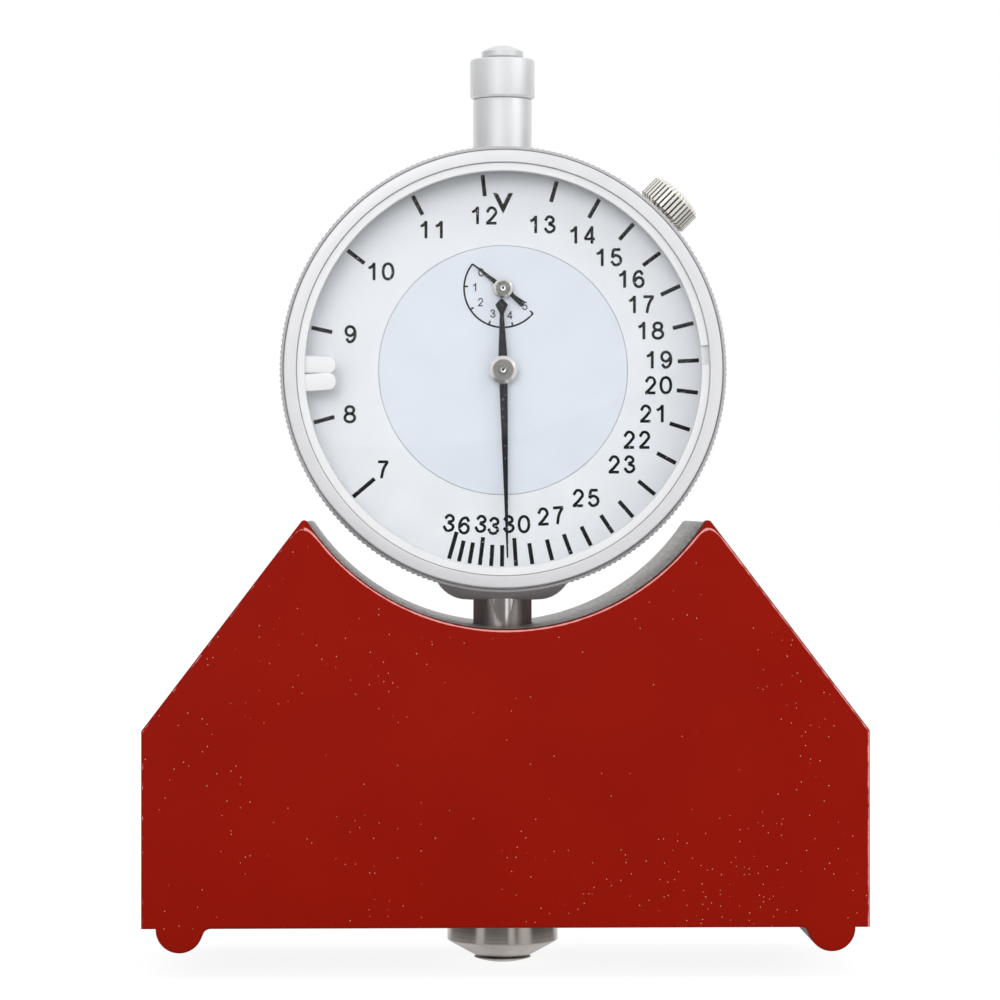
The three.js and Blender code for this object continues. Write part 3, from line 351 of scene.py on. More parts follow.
def cloud_over(tree, shader, cloud, colour, uneven, roughness, spread):
    """Lets a cloud darken a colour by a share, and vary the roughness by a share both ways."""
    darker = (*[value * (1 - uneven) for value in colour], 1)
    shine = remap(tree, cloud, first=roughness * (1 - spread), last=roughness * (1 + spread))
    feed(shader, {"Base Color": mix(tree, cloud, darker, (*colour, 1)), "Roughness": shine})


def bump(tree, height, depth):
    """A bump with its depth in millimetres."""
    return add(tree, "Bump", {"Strength": 1.0, "Distance": depth * MM, "Height": height}).outputs[0]


def lay_over(look, mask, colour):
    """Lays a colour over a finish where a mask lets it through."""
    shader = look.node_tree.nodes["Principled BSDF"]
    below = shader.inputs["Base Color"].links[0].from_socket
    feed(shader, {"Base Color": mix(look.node_tree, mask, below, colour)})


# %% Metals
def metal(name, colour, roughness, axis=None, lines=5000.0, depth=0.004, uneven=0.12, metallic=1.0):
    """A metal whose colour is given in linear light. With an axis, it shows fine turned lines round it."""
    made, tree, shader = new_look(name)
    shader.inputs["Metallic"].default_value = metallic
    place = add(tree, "TexCoord").outputs["Object"]
    cloud_over(tree, shader, use(tree, mottle, Vector=place, Scale=260.0), colour, uneven, roughness, 0.15)
    if axis:
        centring = {"Vector": place, "Location": axis.translation, "Rotation": axis.to_euler()}
        centred = add(tree, "Mapping", centring, vector_type="TEXTURE").outputs[0]
        height = use(tree, turning, Vector=centred, Scale=lines)
    else:
        height = use(tree, mottle, Vector=place, Scale=3000.0)
    feed(shader, {"Normal": bump(tree, height, depth)})
    print("metal:", name, "colour", colour, "roughness", roughness)
    return made


upright = Matrix.Identity(4)
steel = metal("ground_steel", (0.46, 0.44, 0.43), 0.3)
plunger_steel = metal("turned_steel", (0.42, 0.375, 0.345), 0.13, upright, lines=7000.0)
tip_steel = metal("cone_steel", (0.66, 0.61, 0.575), 0.45, upright, lines=5000.0, depth=0.02, uneven=0.4)
stem_steel = metal("stem_steel", (0.80, 0.75, 0.73), 0.1, gauge, lines=9000.0, depth=0.003)
spring_steel = metal("spring_wire", (0.33, 0.33, 0.35), 0.32)
satin_face = metal("satin_bezel", (0.785, 0.79, 0.81), 0.36, gauge_axis, depth=0.002, uneven=0.03, metallic=0.2)
satin_tube = metal("satin_sleeve", (0.77, 0.78, 0.79), 0.42, gauge, depth=0.002, uneven=0.04, metallic=0.35)
nickel = metal("bright_nickel", (0.95, 0.93, 0.875), 0.42, uneven=0.05, metallic=0.5)
groove_nickel = metal("shaded_nickel", (0.42, 0.40, 0.365), 0.5, uneven=0.2, metallic=0.5)
# Near black, a painted shade for the arbor ends that show through the hubs' holes.
arbor_shade_steel = metal("arbor_shade_steel", (0.03, 0.032, 0.04), 0.4)
brass = metal("brass", (0.56, 0.38, 0.13), 0.3, gauge_axis)
bronze = metal("bronze", (0.42, 0.22, 0.09), 0.35, upright)
# The case's faint pink tint is a painted reflection of the red plate below it.
case_metal = metal("case_metal", (0.89, 0.835, 0.84), 0.42, depth=0.01, uneven=0.05, metallic=0.1)
cover_metal = metal("cover_metal", (0.36, 0.355, 0.35), 0.42, gauge_axis, lines=2500.0, metallic=0.9)

# %% [markdown]
# Two of the metals carry more than their own colour. The stem is painted darker and browner at both sides, a
# painted shade for the dark that its flanks mirror, and keeps its bright steel in front. The grooves of the bezel's
# knurl, and the step in front of them, are darker, partly dirt and partly painted shade: on a turned piece, that is a
# ring between two radii.

# %% Painted shade and dirt
SIDE_SHADE_STARTS, SIDE_SHADE_FULL = 1.9, 2.7
# Painted shade: the stem's colour turns darker and browner towards both sides.
tree = stem_steel.node_tree
sideways = add(tree, "SeparateXYZ", {0: tree.nodes["Mapping"].outputs[0]}).outputs[0]
painted_side_shade = remap(tree, math_node(tree, "ABSOLUTE", sideways), SIDE_SHADE_STARTS * MM, SIDE_SHADE_FULL * MM)
lay_over(stem_steel, painted_side_shade, (0.36, 0.295, 0.30, 1))
tree.nodes["Principled BSDF"].inputs["Specular Tint"].default_value = (0.3, 0.24, 0.25, 1)

tree = satin_face.node_tree
centred = tree.nodes["Mapping"].outputs[0]
# Partly dirt, partly painted shade: the knurl's grooves and the step before them get a darker grey.
grooves = use(tree, ring_mask, Vector=centred, Inner=29.15 * MM, Outer=29.62 * MM, Blur=0.05 * MM)
lay_over(satin_face, grooves, (0.5, 0.5, 0.51, 1))
print("stained and dirty:", stem_steel.name, satin_face.name)

# %% [markdown]
# The block is bare aluminium, milled along its outline. It has soft stains, a few dark pits, and fine lines
# across the saddle. The lines come from a cloud that a Mapping node draws out along the depth.

# %% Bare aluminium
aluminium, tree, shader = new_look("bare_aluminium")
shader.inputs["Metallic"].default_value = 0.55
place = add(tree, "TexCoord").outputs["Object"]
stains = use(tree, mottle, Vector=place, Scale=110.0, Detail=5.0)
tint = mix(tree, stains, (0.26, 0.248, 0.239, 1), (0.31, 0.295, 0.284, 1))
pits = use(tree, specks, Vector=place, Scale=600.0, Size=0.12, Share=0.04)
drawn = add(tree, "Mapping", {"Vector": place, "Scale": (1.0, 0.06, 1.0)}).outputs[0]
milled = use(tree, mottle, Vector=drawn, Scale=2600.0)
feed(shader, {
    "Base Color": mix(tree, pits, tint, (0.16, 0.15, 0.145, 1)),
    "Roughness": remap(tree, milled, first=0.38, last=0.52),
    "Normal": bump(tree, milled, 0.006),
})
print("block finish:", aluminium.name)

# %% [markdown]
# The front plate is red and satin. Just inside its outline runs a fine pale line, partly paint scuffed pale and
# partly a painted highlight on the rounded edge, stronger to the right and strongest along the saddle; the saddle's
# side face is painted near black, a painted shade. A few light flecks sit in the paint, some of them in clusters. How
# far a point lies from the outline is worked out in the material: from the saddle it is a distance from a circle,
# from the sides and the slants it is a distance from straight lines.

# %% Red plate outline
HALF_WIDTH = 48.0
SADDLE_Z, SADDLE_RADIUS = 77.36, 31.348
TIP, SHOULDER = Vector((26.53, 60.85)), Vector((HALF_WIDTH, 32.7))
down_slant = (SHOULDER - TIP).normalized()
inward = Vector((down_slant.y, -down_slant.x))

red, tree, shader = new_look("red_plate")
shader.inputs["Specular IOR Level"].default_value = 0.06
place = add(tree, "TexCoord").outputs["Object"]
spot = add(tree, "SeparateXYZ", {0: place}).outputs
across = math_node(tree, "ABSOLUTE", spot[0])
from_side = math_node(tree, "SUBTRACT", HALF_WIDTH * MM, across)
from_saddle = add(tree, "CombineXYZ", {0: spot[0], 1: math_node(tree, "SUBTRACT", spot[2], SADDLE_Z * MM)})
from_saddle = length_of(tree, from_saddle.outputs[0])
from_saddle = math_node(tree, "SUBTRACT", from_saddle, SADDLE_RADIUS * MM)
folded = add(tree, "CombineXYZ", {0: across, 1: 0.0, 2: spot[2]}).outputs[0]
slant_normal = (inward.x, 0.0, inward.y)
from_slant = add(tree, "VectorMath", {0: folded, 1: slant_normal}, operation="DOT_PRODUCT").outputs["Value"]
from_slant = math_node(tree, "SUBTRACT", from_slant, TIP.dot(inward) * MM)
from_straight = math_node(tree, "MINIMUM", from_side, from_slant)
nearest = math_node(tree, "SMOOTH_MIN", from_straight, from_saddle, 4.0 * MM)
on_saddle = math_node(tree, "LESS_THAN", from_saddle, from_straight)
print("plate outline from", list(TIP), "to", list(SHOULDER))

# %% Red plate paint
WEAR_HIGHLIGHT_DEPTH, WEAR_HIGHLIGHT_WIDTH, WALL_DEPTH = 0.22, 0.19, 0.04
# A fine pale line: partly scuffed paint, partly a painted highlight on the rounded edge.
off_line = math_node(tree, "ABSOLUTE", math_node(tree, "SUBTRACT", nearest, WEAR_HIGHLIGHT_DEPTH * MM))
line = remap(tree, off_line, WEAR_HIGHLIGHT_WIDTH * MM, 0.0)
sides = remap(tree, spot[0], -10 * MM, 10 * MM, 0.44, 0.66)
strength = remap(tree, on_saddle, first=sides, last=1.0)
wear_and_highlight = use(tree, ragged_edge, Edge=math_node(tree, "MULTIPLY", line, strength), Vector=place, Scale=700.0, Bite=1.0)
cloud = use(tree, mottle, Vector=place, Scale=60.0, Detail=6.0)
paint = mix(tree, cloud, (0.268, 0.0047, 0.0003, 1), (0.29, 0.0061, 0.0005, 1))
clusters = use(tree, mottle, Vector=place, Scale=45.0, Detail=2.0)
share = remap(tree, clusters, 0.4, 1.0, 0.05, 0.6)
flecks = use(tree, specks, Vector=place, Scale=1600.0, Size=0.1, Share=share)
flecked = mix(tree, math_node(tree, "MULTIPLY", flecks, 0.75), paint, (0.85, 0.55, 0.42, 1))
rubbed_and_highlit = mix(tree, math_node(tree, "MULTIPLY", wear_and_highlight, 0.85), flecked, (0.86, 0.36, 0.33, 1))
# Painted shade: the saddle's side face of the plate is near black.
painted_wall_shade = math_node(tree, "MULTIPLY", math_node(tree, "LESS_THAN", from_saddle, WALL_DEPTH * MM), on_saddle)
feed(shader, {
    "Base Color": mix(tree, painted_wall_shade, rubbed_and_highlit, (0.05, 0.006, 0.005, 1)),
    "Roughness": remap(tree, cloud, first=0.42, last=0.5),
    "Normal": bump(tree, use(tree, mottle, Vector=place, Scale=5000.0), 0.002),
})
print("plate finish:", red.name)

# %% [markdown]
# Enamel and print are plain colours on a smooth coat, with a trace of unevenness. Dust has settled on the black
# hands and print, as pale specks.


# %% Enamels
def enamel(name, colour, roughness, uneven=0.04):
    """A painted or printed finish, with a faint cloud in its colour and its gloss."""
    made, tree, shader = new_look(name)
    place = add(tree, "TexCoord").outputs["Object"]
    cloud_over(tree, shader, use(tree, mottle, Vector=place, Scale=220.0), colour, uneven, roughness, 0.1)
    return made


dial_white = enamel("dial_white", (0.865, 0.89, 0.92), 0.5)
dial_blue = enamel("dial_pale_blue", (0.775, 0.82, 0.89), 0.5)
limit_white = enamel("limit_white", (0.835, 0.847, 0.86), 0.35)
hand_black = enamel("hand_black", (0.01, 0.0105, 0.013), 0.45, 0.3)
print_black = enamel("print_black", (0.004, 0.004, 0.0045), 0.7, 0.3)
for black in (hand_black, print_black):
    tree = black.node_tree
    tree.nodes["Principled BSDF"].inputs["Specular IOR Level"].default_value = 0.08
    place = tree.nodes["Texture Coordinate"].outputs["Object"]
    dust = use(tree, specks, Vector=place, Scale=3000.0, Size=0.2, Share=0.2)
    lay_over(black, dust, grey(0.7))
print("enamels:", [look.name for look in (dial_white, dial_blue, limit_white, hand_black, print_black)])

# %% [markdown]
# The crystal is clear glass. Light that falls through glass is slow to trace, so shadow rays see it as plain
# transparent: the lamps shine straight onto the dial.

# %% Crystal glass
CLEAR = (0.99, 0.995, 1.0, 1)
glass, tree, shader = new_look("clear_glass")
feed(shader, {"Roughness": 0.01, "IOR": 1.25, "Transmission Weight": 1.0, "Base Color": CLEAR})
clear = add(tree, "BsdfTransparent", {"Color": CLEAR})
shadow = add(tree, "LightPath").outputs["Is Shadow Ray"]
either = add(tree, "MixShader", {0: shadow, 1: shader.outputs[0], 2: clear.outputs[0]})
feed(tree.nodes["Material Output"], {"Surface": either.outputs[0]})
print("glass:", glass.name)

# %% [markdown]
# ## Shaping tools
# Nearly every piece of a gauge comes off a lathe, so the main tool spins a half section round the z axis. Sharp
# corners don't exist on real parts: a narrow bevel on each edge catches the light. Holes and slots are cut with
# Boolean modifiers, which are applied at once.


# %% Spin and soften
SHARP_ANGLE = 30


def spin(shape, geometry, degrees, steps, axis, middle=(0, 0, 0), rise=0.0, merge=False):
    """Spins points and edges about an axis, and returns the last ones that it makes."""
    return bmesh.ops.spin(shape, geom=geometry, cent=middle, axis=axis, dvec=(0, 0, rise),
                          angle=math.radians(degrees), steps=steps, use_merge=merge)["geom_last"]


def turned(section, steps=96):
    """Spins a half section round the z axis. It is a list of (radius, height) in millimetres."""
    shape = bmesh.new()
    points = [shape.verts.new((radius * MM, 0, height * MM)) for radius, height in section]
    wires = [shape.edges.new(ends) for ends in zip(points, points[1:])]
    if section[0][0] > 0 or section[-1][0] > 0:
        wires.append(shape.edges.new((points[-1], points[0])))
    spin(shape, points + wires, 360, steps, (0, 0, 1), merge=True)
    bmesh.ops.remove_doubles(shape, verts=shape.verts, dist=1e-7)
    bmesh.ops.recalc_face_normals(shape, faces=shape.faces)
    return shape


def rod(radius, low, high):
    """The section of a plain cylinder, for a boss or for the cutter of a bore."""
    return [(0, low), (radius, low), (radius, high), (0, high)]


def bevel(shape, edges, width, segments):
    bmesh.ops.bevel(shape, geom=edges, offset=width * MM, offset_type="OFFSET", segments=segments, profile=0.5,
                    affect="EDGES", clamp_overlap=True, material=-1)


def soften(shape, width, segments=2):
    """Bevels the edges where faces meet at an angle that is sharp."""
    sharp = [edge for edge in shape.edges if edge.calc_face_angle(0) > math.radians(SHARP_ANGLE)]
    bevel(shape, sharp, width, segments)
    return shape


def dome(radius, rise, foot, steps=12):
    """The section of a shallow dome, from its rim up to the axis. A negative rise points down."""
    ball = (radius ** 2 + rise ** 2) / (2 * abs(rise))
    full = math.asin(radius / ball)
    lean = [full * (steps - step) / steps for step in range(steps + 1)]
    sign = 1 if rise > 0 else -1
    return [(ball * math.sin(angle), foot + rise - sign * ball * (1 - math.cos(angle))) for angle in lean]


# %% Objects and cuts
SMOOTH_ANGLE, FLAT_CAP_CORNERS = 28, 12


def as_object(shape, name):
    """Puts a bmesh into the scene as a mesh object."""
    mesh = bpy.data.meshes.new(name)
    shape.to_mesh(mesh)
    shape.free()
    made = bpy.data.objects.new(name, mesh)
    scene.collection.objects.link(made)
    return made


def combined(shape, operation, tools):
    """Cuts tools out of a shape ("DIFFERENCE") or joins them to it ("UNION")."""
    parts = [as_object(part, "part") for part in (shape, *tools)]
    for tool in parts[1:]:
        step = parts[0].modifiers.new("cut", "BOOLEAN")
        step.operation, step.object, step.solver = operation, tool, "EXACT"
    made = bmesh.new()
    made.from_object(parts[0], bpy.context.evaluated_depsgraph_get())
    for mesh in [part.data for part in parts]:
        bpy.data.meshes.remove(mesh)
    return made


def moved(shape, matrix):
    bmesh.ops.transform(shape, matrix=matrix, verts=shape.verts)
    return shape


def piece(name, shape, look, slot, body, *replaced):
    """Finishes a piece: shades it, gives it its look, and lets it ride on a body in place of its CAD nodes."""
    made = as_object(shape, name)
    made.data.materials.append(look)
    made.data.shade_smooth()
    for face in made.data.polygons:
        face.use_smooth = len(face.vertices) < FLAT_CAP_CORNERS
    made.data.set_sharp_from_angle(angle=math.radians(SMOOTH_ANGLE))
    if body:
        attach(made, body)
    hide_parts(*replaced)
    print(name, [round(side / MM, 1) for side in made.dimensions], "mm,", len(made.data.polygons), "faces")
    return made


# %% [markdown]
# ## Block and plate
# The block and its plate share one outline. Half of it is drawn as a wire: straight edges are extruded from
# the last point, and arcs are spun from it. The wire is mirrored, and several such wires, each a little
# further in, are extruded from one another into a body with rounded edges. That gives the plate its soft edge,
# and the wide rounding at its tips that the photograph shows.


# %% Drawing a wire
def line_to(shape, pen, x, z):
    made = bmesh.ops.extrude_vert_indiv(shape, verts=[pen])["verts"][0]
    made.co = Vector((x, 0, z)) * MM
    return made


def arc_round(shape, pen, x, z, degrees, steps):
    """Spins the last point round a centre, clockwise as seen from the front."""
    made = spin(shape, [pen], degrees, steps, (0, 1, 0), middle=Vector((x, 0, z)) * MM)
    return [part for part in made if isinstance(part, bmesh.types.BMVert)][0]


# %% One wire of the outline
UNDERSIDE = 6.7
NOSE_X, NOSE_Z, NOSE_RADIUS, FILLET = 43.0, 6.6, 3.1, 1.2


def body_wire(depth, inset=0.0, tip_radius=1.55):
    """Draws the closed wire of the outline at a depth, moved in by an inset."""
    shape = bmesh.new()
    under, nose, fillet = UNDERSIDE + inset, NOSE_RADIUS - inset, FILLET + inset
    blend = math.asin((NOSE_Z - under + fillet) / (nose + fillet))
    fillet_x = NOSE_X - (nose + fillet) * math.cos(blend)
    pen = shape.verts.new((0, 0, under * MM))
    pen = line_to(shape, pen, fillet_x, under)
    pen = arc_round(shape, pen, fillet_x, under - fillet, 90 - math.degrees(blend), 8)
    pen = arc_round(shape, pen, NOSE_X, NOSE_Z, math.degrees(blend) - 180, 32)
    pen = line_to(shape, pen, NOSE_X + nose, under)
    side = HALF_WIDTH - inset
    pen = line_to(shape, pen, side, under)
    corner = TIP + inward * inset
    shoulder_z = corner.y + down_slant.y * (side - corner.x) / down_slant.x
    pen = line_to(shape, pen, side, shoulder_z)
    bowl, middle = SADDLE_RADIUS + inset, Vector((0, SADDLE_Z))
    start = corner + inward * tip_radius - middle
    along = start.dot(down_slant)
    along = math.sqrt(along ** 2 - start.length_squared + (bowl + tip_radius) ** 2) - along
    tip_centre = start + down_slant * along + middle
    pen = line_to(shape, pen, *(tip_centre - inward * tip_radius))
    swing = math.degrees((-inward).angle(middle - tip_centre))
    pen = arc_round(shape, pen, *tip_centre, -swing, 16)
    reach = tip_centre - middle
    arc_round(shape, pen, *middle, math.degrees(math.atan2(reach.x, -reach.y)), 64)
    bmesh.ops.mirror(shape, geom=shape.verts[:] + shape.edges[:], axis="X", merge_dist=1e-6)
    bmesh.ops.translate(shape, verts=shape.verts, vec=(0, depth * MM, 0))
    return shape


# %% A body from wires
def body_from(rings):
    """Extrudes each wire, given as (depth, inset, tip radius), from the one before, and closes both ends."""
    shape = body_wire(*rings[0])
    loop, wires = shape.verts[:], shape.edges[:]
    bmesh.ops.contextual_create(shape, geom=wires)
    for ring in rings[1:]:
        grown = bmesh.ops.extrude_edge_only(shape, edges=wires)["geom"]
        twins = {part.co.copy().freeze(): part for part in grown if isinstance(part, bmesh.types.BMVert)}
        loop = [twins[point.co.copy().freeze()] for point in loop]
        goal = body_wire(*ring)
        for point, place in zip(loop, goal.verts):
            point.co = place.co
        goal.free()
        wires = [part for part in grown
                 if isinstance(part, bmesh.types.BMEdge) and set(part.verts) <= set(loop)]
    bmesh.ops.contextual_create(shape, geom=wires)
    bmesh.ops.recalc_face_normals(shape, faces=shape.faces)
    return shape


def rounded(face, direction, radius, tip_from, tip_to):
    """Wires of a rounded edge, from its side round to a face."""
    lean = [math.radians(degrees) for degrees in (0, 22.5, 45, 67.5, 90)]
    return [(face + direction * radius * (1 - math.sin(angle)), radius * (1 - math.cos(angle)),
             tip_from + (tip_to - tip_from) * step / 4) for step, angle in enumerate(lean)]


plate_rings = [(-16.05, 0.12, 0.5), (-16.2, 0.0, 0.5), *rounded(-19.0, 1, 0.4, 0.5, 1.6)]
piece("red_front_plate", body_from(plate_rings), red, "red_plate", "block_and_case", "front_plate")

# %% [markdown]
# The block has a bore for the plunger from below, a bore for the stem from above, and four counterbored screw
# holes and a clamp screw's hole in its back. Each cutter is turned, with a wider mouth that leaves a chamfer.


# %% Block
def screw_place(node):
    """The middle of a screw's node in x and z, as the place of a cutter that lies along y."""
    low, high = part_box(node)
    return Matrix.Translation(((low.x + high.x) / 2, 0, (low.z + high.z) / 2)) @ lengthways


plate_screws = ["plate_screw_" + str(count) for count in (1, 2, 3, 4)]
clamp_place = screw_place("stem_clamp_screw")
plunger_bore = [
    (0, 5.0), (8.6, 5.0), (8.4, 6.7), (8.0, 7.1), (8.0, 14.4), (6.55, 14.4), (6.55, 36.3), (0, 36.3),
]
stem_bore = [(0, 30.0), (4.1, 30.0), (4.1, 45.9), (4.4, 46.4), (4.4, 47.5), (0, 47.5)]
clamp_hole = [(0, 1.0), (2.05, 1.0), (2.05, 18.75), (2.4, 19.1), (2.4, 20.0), (0, 20.0)]
screw_hole = [
    (0, -17.5), (1.55, -17.5), (1.55, 15.0), (2.9, 15.0), (2.9, 18.7), (3.3, 19.1), (3.3, 20), (0, 20),
]
bores = [turned(plunger_bore), turned(stem_bore), moved(turned(clamp_hole, 48), clamp_place)]
bores += [moved(turned(screw_hole, 48), screw_place(node)) for node in plate_screws]
block_rings = [(-16.0, 0.35, 0.8), (-15.7, 0.0, 0.8), *rounded(19.0, -1, 0.45, 0.8, 1.2)]
block = combined(body_from(block_rings), "DIFFERENCE", bores)
piece("bare_block", block, aluminium, "block_aluminium", "block_and_case", "body_block")

# %% [markdown]
# The plate is held by four socket head screws from the back, and a grub screw clamps the stem. The hexagon
# socket is a six-sided prism, cut out of the turned head.


# %% Socket screws
def hexagon(across, low, high, place):
    """A six-sided prism along the axis, its size given across its flats."""
    shape = bmesh.new()
    radius = across / math.sqrt(3) * MM
    bmesh.ops.create_cone(shape, cap_ends=True, segments=6, radius1=radius, radius2=radius,
                          depth=(high - low) * MM)
    return moved(shape, place @ shift(0, 0, (low + high) / 2))


def socket_screw(section, place, socket):
    """A turned screw with a hexagon socket, which is given as its size, its floor and its mouth."""
    body = moved(soften(turned(section, 48), 0.2), place)
    return combined(body, "DIFFERENCE", [hexagon(*socket, place)])


for node in plate_screws:
    section = [(0, -17.95), (1.5, -17.95), (1.5, 15.05), (2.75, 15.05), (2.75, 18.05), (0, 18.05)]
    screw = socket_screw(section, screw_place(node), (2.5, 16.4, 19.0))
    piece("socket_" + node[-7:], screw, steel, "ground_steel", "block_and_case", node)
grub = socket_screw(rod(2.0, 4.1, 17.0), clamp_place, (2.0, 15.0, 18.0))
piece("clamp_screw", grub, steel, "ground_steel", "block_and_case", "stem_clamp_screw")

# %% [markdown]
# ## Plunger
# The plunger is a turned steel head with a cone below, and a harder domed tip pressed into it. The tip's dome
# is what rests on the mesh. A dark ring shows where the two meet. The cone is turned more coarsely than the
# polished side, so its faces get a second material.

# %% Plunger and tip
CONE_TOP = 3.0
head = [
    (2.05, 1.1), (4.0, 1.1), (7.4, 2.98), (7.55, 3.15), (7.55, 8.9), (7.4, 9.05), (3.5, 9.05), (3.5, 21.95),
    (3.0, 21.95), (3.0, 22.95), (3.5, 22.95), (3.5, 24.2), (3.3, 24.4), (0, 24.4), (0, 6.1), (2.05, 6.1),
]
plunger = piece("plunger_head", turned(head, 128), plunger_steel, "ground_steel", "plunger", "measuring_plunger")
plunger.data.materials.append(tip_steel)
for face in plunger.data.polygons:
    face.material_index = int(face.center.z < CONE_TOP * MM)
tip = [(0, 6.05), (1.9, 6.05), (2.0, 5.9), (2.0, 0.8), (3.8, 0.8), (3.9, 0.7), *dome(3.85, -0.65, 0.65)]
piece("domed_tip", turned(tip, 96), tip_steel, "ground_steel", "plunger", "plunger_tip")

# %% [markdown]
# ## Gauge case
# The case is a turned ring with a collar in front that the bezel turns on. Below it hangs a lug that holds the
# stem, drawn like a shallow dish and flattened in depth. A short boss carries the upper sleeve, and a slanting
# one the lock knob. They are joined to the ring first, and the bores are cut after that.

# %% Case, lug and bosses
LUG_FOOT, LUG_RADIUS, LUG_RISE, LUG_FLATNESS = -30.948, 9.8, 5.5, 0.64
ring = [
    (18.2, -10.45), (27.4, -10.45), (27.548, -10.3), (27.548, -8.4), (27.048, -8.4), (27.048, 6.5), (26.95, 6.6),
    (25.048, 6.6), (25.048, -9.25), (18.2, -9.25),
]
curve = [math.radians(step * 7.5) for step in range(13)]
lug = [(5.0 + 4.8 * math.sin(angle), LUG_FOOT + LUG_RISE * (1 - math.cos(angle))) for angle in curve]
lug = turned([(0, LUG_FOOT), *lug, (LUG_RADIUS, -24.0), (0, -24.0)], 96)
lug = moved(soften(lug, 0.25, 3), gauge @ Matrix.Diagonal((1, LUG_FLATNESS, 1, 1)))
boss = moved(soften(turned(rod(5.2, 24.0, 28.048), 64), 0.3), gauge)
knob_place = gauge @ shift(0, -4.6, 0) @ turn(44.8, "Y")
knob_boss = moved(soften(turned(rod(3.2, 24.0, 29.898), 48), 0.2), knob_place)
case = combined(moved(turned(ring, 160), gauge_axis), "UNION", [lug, boss, knob_boss])
cuts = [
    moved(turned(rod(25.048, -9.25, 9.0), 160), gauge_axis),
    moved(turned([(0, -32.0), (4.35, -32.0), (4.05, -30.7), (4.05, -20.0), (0, -20.0)], 48), gauge),
    moved(turned(rod(4.05, 20.0, 30.0), 48), gauge),
    moved(turned(rod(1.55, 26.0, 31.0), 32), knob_place),
]
case = combined(case, "DIFFERENCE", cuts)
piece("round_case", case, case_metal, "case_metal", "block_and_case", "gauge_case")

# %% [markdown]
# The back cover is a turned disc with a shallow step, held by four slotted screws.

# %% Cover and its screws
COVER_SCREWS, SCREW_CIRCLE, SLOT_WIDTH = (30, 150, 210, 330), 22.94, 0.5


def cover_place(degrees):
    """The place of a cover screw, counted from the right and up, seen from the front."""
    angle = math.radians(degrees)
    return gauge @ shift(SCREW_CIRCLE * math.cos(angle), 0, SCREW_CIRCLE * math.sin(angle)) @ lengthways


cover = [
    (0, 5.6), (24.9, 5.6), (24.9, 6.65), (26.948, 6.65), (26.948, 7.55), (26.65, 7.85), (19.2, 7.85),
    (18.9, 7.6), (0, 7.6),
]
holes = [moved(turned(rod(1.05, 4.0, 9.0), 32), cover_place(degrees)) for degrees in COVER_SCREWS]
cover = combined(moved(turned(cover, 160), gauge_axis), "DIFFERENCE", holes)
piece("round_cover", cover, cover_metal, "case_metal", "block_and_case", "back_cover")
for count, degrees in enumerate(COVER_SCREWS, 1):
    stud = [(0, 1.1), (1.0, 1.1), (1.0, 7.9), (1.9, 7.9), (1.9, 8.3), *dome(1.85, 0.35, 8.35, 6)]
    slot = bmesh.new()
    bmesh.ops.create_cube(slot, size=1)
    long_box = Matrix.Diagonal((6 * MM, SLOT_WIDTH * MM, 1 * MM, 1))
    moved(slot, cover_place(degrees) @ shift(0, 0, 8.8) @ turn(37 * count, "Z") @ long_box)
    stud = combined(moved(turned(stud, 48), cover_place(degrees)), "DIFFERENCE", [slot])
    piece("slotted_screw_" + str(count), stud, steel, "ground_steel", "block_and_case",
          "cover_screw_" + str(count))

# %% [markdown]
# ## Stem, sleeve, cap and button
# The ground stem goes down into the block. Above the case stand a sleeve and a wider cap, and the domed button
# on top is the end of the spindle.


# %% Stem
def heights(node):
    """The lowest and highest point of a node, counted in millimetres from the gauge's axis."""
    return [(corner.z - centre.z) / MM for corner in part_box(node)]


foot, top = heights("gauge_stem")
stem = [(2.55, foot), (3.8, foot), (4.0, foot + 0.2), (4.0, top), (2.55, top)]
piece("ground_stem", moved(turned(stem, 96), gauge), stem_steel, "ground_steel", "block_and_case", "gauge_stem")

# %% Sleeve, cap and button
foot = heights("upper_sleeve")[0]
sleeve = [(2.65, foot), (4.0, foot), (4.0, 37.1), (3.85, 37.4), (3.3, 37.4), (3.3, 41.85), (2.65, 41.85)]
piece("sleeve", moved(turned(sleeve), gauge), satin_tube, "satin_chrome", "block_and_case", "upper_sleeve")
cap = [
    (3.35, 37.45), (4.1, 37.45), (4.4, 37.75), (4.4, 42.55), (4.3, 42.75), (4.1, 42.85), (2.65, 42.85),
    (2.65, 41.95), (3.35, 41.95),
]
piece("wide_cap", moved(turned(cap, 128), gauge), satin_tube, "satin_chrome", "block_and_case", "sleeve_cap")
button = [
    (0, 39.65), (1.25, 39.65), (1.25, 43.1), (2.7, 43.1), (2.85, 43.25), (2.85, 43.9), *dome(2.75, 0.8, 44.0),
]
piece("domed_button", moved(turned(button), gauge), satin_tube, "satin_chrome", "gauge_spindle", "spindle_button")

# %% [markdown]
# ## Bezel and crystal
# The bezel turns round the dial. Its front band is plain, and the rim behind it is knurled for the fingers. A
# knurl is hundreds of small ridges, so the section is spun in a few times as many steps as there are ridges,
# and some of the rows of points on the rim are drawn in.


# %% Bezel
def knurled(section, ridges, rows, beyond, depth, drawn=0):
    """Spins a section in so many rows of points for each ridge, and draws one of them in, beyond a radius."""
    shape = turned(section, rows * ridges)
    for point in shape.verts:
        radius = point.co.xy.length
        row = round(math.atan2(point.co.y, point.co.x) / math.tau * rows * ridges)
        if radius > beyond * MM and row % rows == drawn:
            point.co.xy *= 1 - depth * MM / radius
    return shape


